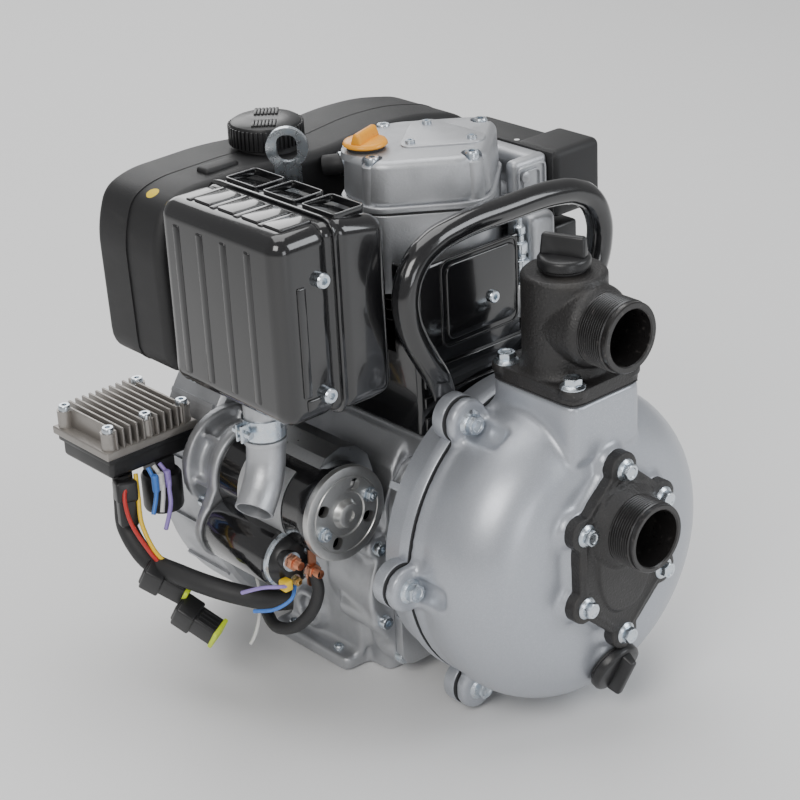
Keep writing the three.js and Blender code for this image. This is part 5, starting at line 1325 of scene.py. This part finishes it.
class FIREPUMP_OT_cleaner(bpy.types.Operator):
    """Model the air cleaner's cast base and its moulded cover"""

    bl_idname = "firepump.cleaner"
    bl_label = "Air Cleaner"

    def execute(self, context):
        (x0, x1), (y0, y1), (z0, z1) = span("air_cleaner_base")
        plate = eased(box((81, x1), (y0, y1), (z0, z1)), 6, 4)
        front = eased(box((61, x1), (y0 - 0.5, y0 + 12), (340, z1)), 5, 4)
        neck = turned([(0, 75.3), (20, 75.3), (20, 82), (0, 82)], (0, 392), "X", 48)
        frames = [frame_rib((64 + d, 97 - d), (346 + d, 434 - d * 0.7), "Y", y0 - 2.4, y0 + 1, 2,
                            6) for d in (0, 6)]
        inner = frame_rib((74, 93), (382, 412), "Y", y0 - 3, y0 + 1, 2, 4)
        knob = turned([(0, y0), (5, y0), (5, y0 - 4), (3, y0 - 5), (0, y0 - 5)], (72, 425), steps=24)
        pieces = [plate, front, neck, *frames, inner, knob]
        dress(join("cleaner_casting", *pieces), "bare_casting", "cast_aluminium",
              stands_for=["air_cleaner_base"])
        (x0, x1), (y0, y1), (z0, z1) = span("air_cleaner_cover")
        shell = eased(box((x0, 146), (y0 + 10, y1), (386, z1 - 3)), 6, 4)
        snout = eased(box((x0, x1), (y0, y0 + 50), (z0, z1)), 7, 5)
        lip = eased(box((x0 - 0.2, x0 + 4), (y0 + 3, y1 + 1), (383, z1 - 1)), 1, 2)
        dress(join("cleaner_moulding", shell, snout, lip), "tank_plastic", "tank_plastic",
              stands_for=["air_cleaner_cover"])
        bail = swept([(104, -44, 356), (96, -50, 352), (94, -52, 342), (96, -50, 330), (108, -46, 326),
                      (122, -42, 330)], 1.6,
                     "cleaner_bail", 12)
        dress(bail, "black_enamel", "black_enamel")
        latch = eased(box((104, 132), (-42, -20), (322, 372)), 3, 3)
        tab = eased(box((112, 124), (-46, -40), (336, 358)), 1.5)
        dress(join("cleaner_latch", latch, tab), "moulded_plastic", "black_plastic")
        return {"FINISHED"}


class FIREPUMP_OT_silencer(bpy.types.Operator):
    """Model the pressed silencer box with its ribs, seam and bolts, and the exhaust elbow"""

    bl_idname = "firepump.silencer"
    bl_label = "Silencer"

    def execute(self, context):
        (x0, x1), (y0, y1), (z0, z1) = span("silencer")
        seam = -164
        outer = box((x0, seam), (y0 + 1.5, y1 - 1.5), (z0 + 1.5, z1 - 1.5), "silencer_box")
        eased(outer, 15, 8)
        inner = box((seam, -110), (y0, y1), (z0, z1 - 0.5))
        for vertex in inner.data.vertices:
            if vertex.co.x > -0.111 and vertex.co.z > 0.4:
                vertex.co.z -= 0.010
        eased(inner, 13, 7)
        core = box((seam - 12, seam + 14), (y0 + 2, y1 - 2), (z0 + 2, z1 - 2.2))
        eased(core, 11, 6)
        lip = raised(oblong((y0 - 1.2, y1 + 1.2), (z0 - 1.2, z1 + 0.8), 17, 8), "X", seam - 1.6, seam + 1.6)
        eased(lip, 0.7, 2, 50)
        ribs = []
        for y in (54, 24, -6, -36):
            ribs.append(eased(box((x0 - 1.3, x0 + 6), (y - 4, y + 4), (z0 + 16, z1 - 18)), 2.0, 3))
            ribs.append(eased(box((x0 + 14, seam - 6), (y - 3, y + 3), (z1 - 4, z1 - 0.3)), 1.2, 3))
        ribs += [eased(raised(oblong((x0 + 16, seam - 8), (y - 11, y + 11), 3), "Z", z1 - 4, z1 + 0.2), 0.9,
                       2, 50)
                 for y in (39, 9, -21, -48)]
        ribs += [frame_rib((-156, -124), (y - 20, y + 20), "Z", z1 - 6, z1 + 0.4 - drop, 1.8, 4)
                 for y, drop in ((52, 0), (4, 0), (-44, 0))]
        ribs.append(eased(box((-203, -195), (y0 - 0.4, y0 + 4), (z0 + 26, z1 - 44)), 1.6, 3))
        ribs.append(eased(box((-200, -184), (y0 - 0.2, y0 + 4), (z0 + 14, z0 + 24)), 1.6, 3))
        stub = turned([(0, -112), (24, -112), (20, -108), (20, -75.3), (0, -75.3)], (10, 392), "X", 48)
        shell = join("silencer_box", outer, inner, core, lip, *ribs, stub)
        dress(shell, "black_enamel", "black_enamel", stands_for=["silencer"], angle=45)
        placed_screws("silencer_screw", 6.4, 5, [(-180, y0 + 0.6, 417), (-180, y0 + 0.6, 321)], (0, -1, 0))
        px, py, top = -190, 0, z0 - 0.3
        path = [(px, py, top), (px, py, top - 22), (px, py, top - 45), (px - 4, py - 2, top - 62),
                (px - 13, py - 6, top - 76),
                (px - 26, py - 12, top - 88)]
        pipe = swept(path, 16.2, "exhaust_pipe", 48, 10, ends=False)
        modify(pipe, "SOLIDIFY", thickness=1.8 * MM, offset=-1)
        bead = turned([(15, top - 38), (17.8, top - 37), (18.2, top - 35), (17.8, top - 33),
                       (15, top - 32)], (px, py), "Z", 48)
        dress(join("exhaust_pipe", pipe, bead), "bare_casting", "satin_tube", stands_for=["exhaust_elbow"])
        band = turned([(16.4, top - 31), (18, top - 31), (18, top - 14), (16.4, top - 14)], (px, py), "Z",
                      56)
        ears = [eased(box((px - 26, px - 17), (py + 3 * s - 1, py + 3 * s + 1), (top - 30, top - 15)), 0.4,
                      2) for s in (-1, 1)]
        bolt = rod("Y", 3, py - 12, py + 10, (px - 22, top - 22), 6)
        dress(join("exhaust_clamp", band, *ears, bolt), "zinc", "zinc_plate")
        return {"FINISHED"}


# ---------------------------------------------------------------- electrics
STARTER = tuple(middle("starter_motor").xz)
SOLENOID = tuple(middle("solenoid").xz)
LOOM = [(-234, 151, 194.7), (-234, 151, 184), (-235, 151, 168), (-238, 145, 144), (-238, 118, 124),
        (-231, 82, 120),
        (-220, 50, 116), (-206, 28, 111), (-190, 12, 106), (-174, 2, 104)]


def nut(radius, height, place, direction, turn=0.0, name="nut"):
    """A hexagon nut with its corners taken off, seated at a place and facing a direction."""
    body = turned([(radius * 0.45, 0), (radius * 0.9, 0), (radius, radius * 0.1),
                   (radius, height - radius * 0.1),
                   (radius * 0.9, height), (radius * 0.45, height)], axis="Z", steps=6, name=name)
    return moved(body, facing(direction, place, turn))


def stud(place, radius, nut_radius, finish_name, stem, reach=12, slot="machined_steel"):
    """A threaded terminal facing -Y, with its washer and nut."""
    x, y, z = place
    screw = moved(turned(threaded(radius, 0, reach, 1.0, 0.35), axis="Z", steps=24),
                  facing((0, -1, 0), place))
    dress(join(f"{stem}_stud", screw), finish_name, slot, angle=30)
    washer = turned([(radius, y), (nut_radius * 1.25, y), (nut_radius * 1.25, y - 1.2), (radius, y - 1.2)],
                    (x, z),
                    steps=32)
    dress(join(f"{stem}_washer", washer), "zinc", slot)
    dress(nut(nut_radius, 4.6, (x, y - 1.4, z), (0, -1, 0), 13, f"{stem}_nut"), finish_name, slot, angle=30)


def wire(name, points, radius, finish_name):
    """A short insulated wire along a smooth line."""
    return dress(swept(flowing(points, 7), radius, name, 12, 4), finish_name, "loom_sleeve", angle=60)


class FIREPUMP_OT_loom(bpy.types.Operator):
    """Model the wiring loom that hangs from the regulator, as a cord"""

    bl_idname = "firepump.loom"
    bl_label = "Wiring Loom"

    def execute(self, context):
        sizes = context.scene.fire_pump_sizes
        radius = sizes.loom_sleeve / MM
        line = flowing(LOOM, 14)
        sleeve = swept(line, radius, "loom_sleeve", 28, 1)
        dress(sleeve, "rubber", "loom_sleeve", stands_for=["harness_loom"], angle=60)
        points = [tuple(v * MM for v in point) for point in line]
        length = sum((Vector(a) - Vector(b)).length for a, b in zip(points, points[1:]))
        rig.cord(sleeve, exit=points[0], length=length, diameter=2 * radius * MM, far_end="object",
                stiffness="medium",
                lay="hanging", path=points)
        return {"FINISHED"}


class FIREPUMP_OT_starter(bpy.types.Operator):
    """Model the starter motor, its machined end plate and its bare drive casting"""

    bl_idname = "firepump.starter"
    bl_label = "Starter Motor"

    def execute(self, context):
        can = turned([(36, -31), (41, -31), (41.4, -29), (41.4, -22), (41, -20), (41, 84), (36, 84)],
                     STARTER, steps=96)
        dress(join("starter_can", can), "black_enamel", "black_enamel", stands_for=["starter_motor"])
        drive = turned([(34, 84.5), (44, 84.5), (44.6, 86), (44.6, 92), (43, 94), (43, 96), (40.6, 98),
                        (40.6, 102),
                        (37, 104), (37, 109), (34, 112), (34, 117.7), (48, 117.7), (48, 127.5), (26, 127.5),
                        (26, 84.5)],
                       STARTER, steps=96)
        sx, sz = STARTER
        ox, oz = SOLENOID
        ear = raised(rounded([(ox - 19, oz - 22), (ox + 22, oz - 20), (sx + 20, sz - 36), (sx - 28, sz + 24),
                              (ox - 26, oz + 8)], 8), "Y", 84.8, 96)
        bell = turned([(0, 84.8), (29, 84.8), (29, 92), (25, 96.4), (0, 96.4)], SOLENOID, steps=64)
        ribs = [moved(box((-2, 2), (98, 117), (30, 43)), Matrix.Translation((sx, 0, sz))
                      @ Matrix.Rotation(math.radians(60 * i + 20), 4, "Y")) for i in range(6)]
        drive = cast(join("starter_drive", drive, ear, bell, *ribs), 1.7, 3)
        dress(drive, "bare_casting", "cast_aluminium", angle=60)
        label = turned([(41.3, -2), (41.9, -2), (41.9, 56), (41.3, 56)], STARTER, steps=96)
        window = box((-400, sx - 22), (-20, 80), (sz - 26, sz + 60))
        label = combine(label, "INTERSECT", window)
        dress(join("starter_plate", label), "label_plate", "machined_plate")
        plate = turned([(9, -31.3), (42, -31.3), (42.2, -33), (41.6, -36.6), (40.5, -37), (34.5, -37),
                        (34, -36.2), (33, -36.2),
                        (32.5, -37), (20, -37), (19, -35.8), (13, -35.8), (12, -37.4), (10.5, -41.4),
                        (9, -42), (5, -42),
                        (5, -40.5), (0, -40.5), (0, -32.5), (9, -32.5)], STARTER, steps=96)
        windows = []
        for angle in (65, 155, 245, 335):
            slot = raised(oblong((20.5, 31.5), (-5, 5), 4.8), "Y", -40, -28)
            windows.append(moved(slot, Matrix.Translation((sx, 0,
                                                           sz)) @ Matrix.Rotation(math.radians(-angle), 4,
                                                               "Y")))
        carve(plate, *windows)
        dress(join("starter_cap", plate), "machined", "machined_plate", stands_for=["starter_end_plate"])
        for i, angle in enumerate((20, 200)):
            place = (sx + 27 * math.cos(math.radians(angle)), -37, sz + 27 * math.sin(math.radians(angle)))
            stud(place, 2.4, 5.2, "zinc", f"starter_tie_{i + 1}", 8)
        placed_screws("drive_screw", 6.2, 6, [(sx - 33, 117.6, sz - 30), (sx + 38, 117.6, sz + 24)],
                      (0, -1, 0))
        return {"FINISHED"}


class FIREPUMP_OT_solenoid(bpy.types.Operator):
    """Model the starter solenoid, its terminals and the short leads between them"""

    bl_idname = "firepump.solenoid"
    bl_label = "Starter Solenoid"

    def execute(self, context):
        x, z = SOLENOID
        can = turned([(0, 1), (25, 1), (27, 3), (27, 81), (26, 83), (0, 83.8)], SOLENOID, steps=72)
        dress(join("solenoid_can", can), "black_enamel", "black_enamel", stands_for=["solenoid"])
        rim = turned([(22, 2.4), (25.6, 2.4), (25.6, -1.4), (22, -2.4)], SOLENOID, steps=72)
        dress(join("solenoid_rim", rim), "zinc", "zinc_plate")
        cap = turned([(0, -12), (15, -12), (19, -11), (23, -5), (23.4, 1), (0, 1)], SOLENOID, steps=56)
        bosses = [turned([(0, -17), (7.4, -17), (8.4, -15.6), (8.6, -8), (0, -8)], (x + dx, z + dz),
                         steps=32)
                  for dx, dz in ((-10, 8), (10, -8))]
        dress(eased(join("solenoid_cap", cap, *bosses), 0.5, 2), "moulded_plastic", "black_plastic")
        stud((x - 10, -17, z + 8), 3.9, 6.8, "copper", "battery_terminal", 13)
        stud((x + 10, -17, z - 8), 3.9, 6.8, "copper", "motor_terminal", 13)
        stud((x - 4, -11.6, z - 14), 2.2, 4.2, "brass", "trigger_terminal", 8)
        stud((x + 13, -11.6, z + 9), 2.2, 4.2, "zinc", "ground_terminal", 8)
        strap = raised(oblong((x + 6, x + 14), (z - 4, z + 33), 3.5), "Y", -19.6, -18.2)
        dress(join("motor_strap", strap), "copper", "machined_steel")
        lead = [(x + 10, -20, z - 10), (x + 9, -26, z - 24), (x + 2, -24, z - 42), (x - 8, -12, z - 58),
                (x - 12, 10, z - 64),
                (x - 4, 34, z - 58)]
        wire("battery_lead", lead, 5.4, "rubber")
        lug = raised(oblong((x + 4, x + 16), (z - 22, z - 4), 5), "Y", -19.6, -17.8)
        dress(join("lead_lug", lug), "copper", "machined_steel")
        blade = eased(box((x - 22, x - 13), (-22, -12), (z - 16, z - 6)), 2, 3)
        dress(join("trigger_sleeve", blade), "yellow_vinyl", "loom_sleeve")
        wire("trigger_wire", [(x - 18, -20, z - 11), (x - 27, -20, z - 8), (x - 36, -8, z - 10),
                              (x - 42, 12, z - 20)], 1.7,
             "violet_wire")
        wire("feed_wire", [(x - 6, -14, z - 18), (x - 14, -18, z - 26), (x - 26, -10, z - 34),
                           (x - 36, 6, z - 38)], 1.7,
             "blue_wire")
        return {"FINISHED"}


class FIREPUMP_OT_regulator(bpy.types.Operator):
    """Model the voltage regulator with its finned heatsink, its case and its relay"""

    bl_idname = "firepump.regulator"
    bl_label = "Voltage Regulator"

    def execute(self, context):
        (x0, x1), (y0, y1), (z0, z1) = span("regulator")
        plate = eased(box((x0, x1), (y0, y1), (217, 224.4)), 1.2, 3)
        fins = [eased(box((x - 1.1, x + 1.1), (y0 + 1, y1 - 1), (222, 242.6)), 0.5, 2)
                for x in (x0 + 12 + i * (x1 - x0 - 24) / 10 for i in range(11))]
        bosses = [rod("Z", 7, 217, 240, place, 28) for place in ((x0 + 9, y0 + 9), (x1 - 9, y0 + 9),
                                                                 (x0 + 9, y1 - 9),
                                                                 (x1 - 9, y1 - 9), ((x0 + x1) / 2, y0 + 9))]
        sink = join("heatsink_casting", plate, *fins, *bosses)
        dress(sink, "heatsink", "heatsink", stands_for=["regulator"])
        placed_screws("sink_screw", 5.4, 4.4, [(x, y, 240) for x,
                                               y in ((x0 + 9, y0 + 9), (x1 - 9, y0 + 9), (x0 + 9, y1 - 9),
                                                                       (x1 - 9, y1 - 9),
                                                                        ((x0 + x1) / 2, y0 + 9))], UP)
        case = eased(box((-250, -162), (y0 + 5, y1 - 5), (196, 216.8)), 4, 4)
        rim = eased(box((-252, -160), (y0 + 3, y1 - 3), (211, 216.9)), 1, 2)
        relay = turned([(0, 150), (17, 150), (18, 153), (18, 181), (16, 184), (0, 184)], (-196, 148), "Z",
                       48)
        neck = box((-206, -186), (140, 160), (182, 198))
        dress(join("regulator_case", case, rim, relay, neck), "moulded_plastic", "black_plastic")
        return {"FINISHED"}


class FIREPUMP_OT_wiring(bpy.types.Operator):
    """Model the plug housings, their seals, the fuse holder, the coloured wires and the cable tie"""

    bl_idname = "firepump.wiring"
    bl_label = "Plugs and Wires"

    def execute(self, context):
        shells = []
        for i, (place, lean) in enumerate((((-234, 96, 108), (0.55, -0.75, -0.5)),
                                           ((-226, 66, 78), (0.45, -0.8, -0.55)))):
            shell = eased(box((-9, 9), (-11, 11), (-24, 18)), 2.5, 3)
            skirt = eased(box((-11, 11), (-13, 13), (-22, -4)), 2, 3)
            ribs = [eased(box((x - 1, x + 1), (-12.2, 12.2), (-2, 16)), 0.4, 2) for x in (-6, -2, 2, 6)]
            latch = eased(box((-4, 4), (-15.5, -10), (-16, 8)), 1.2, 2)
            shells.append(moved(join(f"plug_{i + 1}", shell, skirt, *ribs, latch), facing(lean, place, 20)))
            dress(shells[-1], "moulded_plastic", "black_plastic")
            ring = eased(carve(box((-10, 10), (-12, 12), (16, 20)), box((-5, 5), (-6, 6), (12, 24))), 1.2, 2)
            dress(moved(join(f"plug_seal_{i + 1}", ring), facing(lean, place, 20)), "lime_seal",
                  "seal_rubber")
        holder = eased(box((-8, 8), (-7, 7), (-20, 20)), 2.5, 3)
        cap = eased(box((-9.4, 9.4), (-8.4, 8.4), (2, 21)), 2.5, 3)
        fuse = moved(join("fuse_holder", holder, cap), facing((0.1, 0.15, 1), (-240, 139, 172), 15))
        dress(fuse, "moulded_plastic", "black_plastic")
        wires = (("red_wire", "red_wire", [(-238, 138, 192), (-246, 132, 180), (-247, 124, 160),
                                           (-242, 110, 138), (-236, 98, 122)]),
                 ("yellow_wire", "yellow_vinyl", [(-226, 142, 194), (-232, 132, 178), (-238, 122, 158),
                                                  (-238, 108, 138), (-232, 98, 124)]),
                 ("blue_wire", "blue_wire", [(-214, 140, 196), (-214, 131, 184), (-217, 128, 172),
                                             (-224, 124, 160)]),
                 ("white_wire", "white_nylon", [(-208, 140, 196), (-207, 131, 186), (-209, 128, 174),
                                                (-216, 122, 160)]),
                 ("violet_wire", "violet_wire", [(-202, 140, 196), (-200, 131, 186), (-203, 127, 176),
                                                 (-208, 120, 164), (-222, 110, 150)]))
        for name, colour, points in wires:
            wire(f"loose_{name}", points, 2.0, colour)
        for i, (x, y, z) in enumerate(((-214, 131, 184), (-208, 131, 184), (-201, 131, 184))):
            sleeve = turned([(0, -8), (2.8, -8), (3.2, -6), (3.2, 7), (2.4, 8), (0, 8)], axis="Z", steps=24)
            dress(join(f"bullet_sleeve_{i + 1}", moved(sleeve, Matrix.Translation((x, y, z)))),
                  ("blue_wire", "white_nylon", "violet_wire")[i], "loom_sleeve")
        tie = [(-206 + 22 * math.cos(t), 34,
                100 + 46 * math.sin(t)) for t in (math.radians(a) for a in range(-70, 71, 10))]
        wire("cable_tie", tie, 1.6, "white_nylon")
        return {"FINISHED"}


class FIREPUMP_OT_lifting(bpy.types.Operator):
    """Model the plated lifting eye with its slotted hole"""

    bl_idname = "firepump.lifting"
    bl_label = "Lifting Eye"

    def execute(self, context):
        place = Matrix.Translation((-92, 70, 469)) @ Matrix.Rotation(math.radians(-45), 4, "Z")
        plate = combine(rod("Y", 17.5, -3, 3, (0, 0), 64), "UNION", box((-11, 11), (-3, 3), (-60, -8)))
        hole = raised(oblong((-8.5, 8.5), (-11.5, 11.5), 8.4), "Y", -9, 9)
        eye = moved(eased(carve(plate, hole), 1.1, 3, 40), place)
        arm = eased(box((-98, -70), (62, 76), (403, 419)), 2, 3)
        dress(join("eye_plate", eye, arm), "zinc", "zinc_plate", stands_for=["lifting_eye"])
        placed_screws("eye_screw", 7, 5, [(-84, 61.8, 411)], (0, -1, 0))
        return {"FINISHED"}


# ---------------------------------------------------------------- stage
VIEW_PLACE = Vector((-1.1141, -1.2521, 1.0135))
VIEW_RIGHT = Vector((0.74495, -0.66540, -0.04710))
VIEW_UP = Vector((0.31348, 0.28688, 0.90515))
VIEW_AHEAD = Vector((0.58882, 0.68910, -0.42233))


class FIREPUMP_OT_stage(bpy.types.Operator):
    """Place the camera, the pale floor and the soft studio lights"""

    bl_idname = "firepump.stage"
    bl_label = "Studio Stage"

    def execute(self, context):
        clear()
        bpy.ops.object.camera_add(location=VIEW_PLACE)
        camera = context.object
        camera.name = "view_camera"
        axes = Matrix((VIEW_RIGHT, VIEW_UP, -VIEW_AHEAD)).transposed()
        camera.rotation_euler = axes.to_euler()
        camera.data.sensor_width = 36
        camera.data.lens = 95.76
        camera.data.clip_end = 50
        context.scene.camera = camera
        clear()
        bpy.ops.mesh.primitive_plane_add(size=30, location=(0, 0, -0.0005))
        floor = settle("studio_floor")
        pale = Finish("floor_pale", (0.82, 0.82, 0.82), 0.6)
        speck = pale.noise(3, 3)
        pale.rough(0.55 + speck * 0.1)
        floor.data.materials.append(pale.material)
        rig.stage(floor)
        target = Vector((0, 0, 0.25))
        for name, place, size, power, warmth in (
                ("key_softbox", (-2.6, -1.3, 2.4), 1.6, 62, (1.0, 0.985, 0.96)),
                ("right_softbox", (1.9, -2.8, 1.9), 1.7, 52, (0.93, 0.965, 1.0)),
                ("top_softbox", (0.3, 0.5, 3.2), 2.6, 58, (1, 1, 1)),
                ("front_strip", (-0.7, -3.0, 0.7), 0.9, 10, (0.95, 0.97, 1.0)),
                ("back_softbox", (1.2, 2.8, 1.8), 1.8, 30, (1, 1, 1))):
            clear()
            bpy.ops.object.light_add(type="AREA", location=place)
            lamp = context.object
            lamp.name = name
            lamp.data.size = size
            lamp.data.energy = power
            lamp.data.color = warmth
            lamp.rotation_euler = (target - Vector(place)).to_track_quat("-Z", "Y").to_euler()
        world = bpy.data.worlds.new("studio_air")
        world.use_nodes = True
        world.node_tree.nodes["Background"].inputs["Color"].default_value = (1, 1, 1, 1)
        world.node_tree.nodes["Background"].inputs["Strength"].default_value = 0.38
        context.scene.world = world
        return {"FINISHED"}


CAD_FINISHES = {
    "gasket_paper": ["suction_gasket", "discharge_gasket"],
    "rubber": ["suction_flap"],
    "steel": ["impeller", "shaft_seal", "crankshaft_front", "crankshaft_rear", "crank_pin", "connecting_rod",
              "starter_armature"],
    "black_casting": ["volute", "cylinder_barrel"],
    "bare_casting": ["piston", "crankcase_cover"],
}


class FIREPUMP_OT_inner(bpy.types.Operator):
    """Give the inner pieces and gaskets their own finishes"""

    bl_idname = "firepump.inner"
    bl_label = "Inner Pieces"

    def execute(self, context):
        for name, nodes in CAD_FINISHES.items():
            for node in nodes:
                coat(frame["nodes"][node], name)
        for node, piece in frame["nodes"].items():
            if not piece.hide_render and node not in sum(CAD_FINISHES.values(), []):
                coat(piece, "bare_casting")
        return {"FINISHED"}


OPERATORS = [value for name, value in list(globals().items()) if name.startswith("FIREPUMP_OT_")]
FIRST_AND_LAST = ("firepump.stage", "firepump.loom", "firepump.inner")
ORDER_OF_WORK = ["stage", "loom", *[operator.bl_idname.split(".")[1] for operator in OPERATORS
                                    if operator.bl_idname not in FIRST_AND_LAST], "inner"]


class FIREPUMP_PT_panel(bpy.types.Panel):
    """Sizes, colours and one button for each group of pieces"""

    bl_idname = "FIREPUMP_PT_panel"
    bl_label = "Fire Pump"
    bl_space_type = "VIEW_3D"
    bl_region_type = "UI"
    bl_category = "Fire Pump"

    def draw(self, context):
        for group in (context.scene.fire_pump_sizes, context.scene.fire_pump_finish):
            column = self.layout.column()
            for name in group.bl_rna.properties.keys():
                if name not in ("rna_type", "name"):
                    column.prop(group, name)
        for operator in OPERATORS:
            self.layout.operator(operator.bl_idname)


CLASSES = [FIREPUMP_PG_sizes, FIREPUMP_PG_finish, *OPERATORS, FIREPUMP_PT_panel]


def register():
    for made in CLASSES:
        bpy.utils.register_class(made)
    bpy.types.Scene.fire_pump_sizes = bpy.props.PointerProperty(type=FIREPUMP_PG_sizes)
    bpy.types.Scene.fire_pump_finish = bpy.props.PointerProperty(type=FIREPUMP_PG_finish)


def unregister():
    del bpy.types.Scene.fire_pump_sizes
    del bpy.types.Scene.fire_pump_finish
    for made in reversed(CLASSES):
        bpy.utils.unregister_class(made)


def main():
    register()
    for name in ORDER_OF_WORK:
        getattr(bpy.ops.firepump, name)()
    with open("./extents.json", "w") as sizes:
        json.dump({"cad": [list(corner) for corner in CAD_BOX],
                   "visual": [list(corner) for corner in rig.bounds()]}, sizes)


if __name__ == "__main__":
    main()
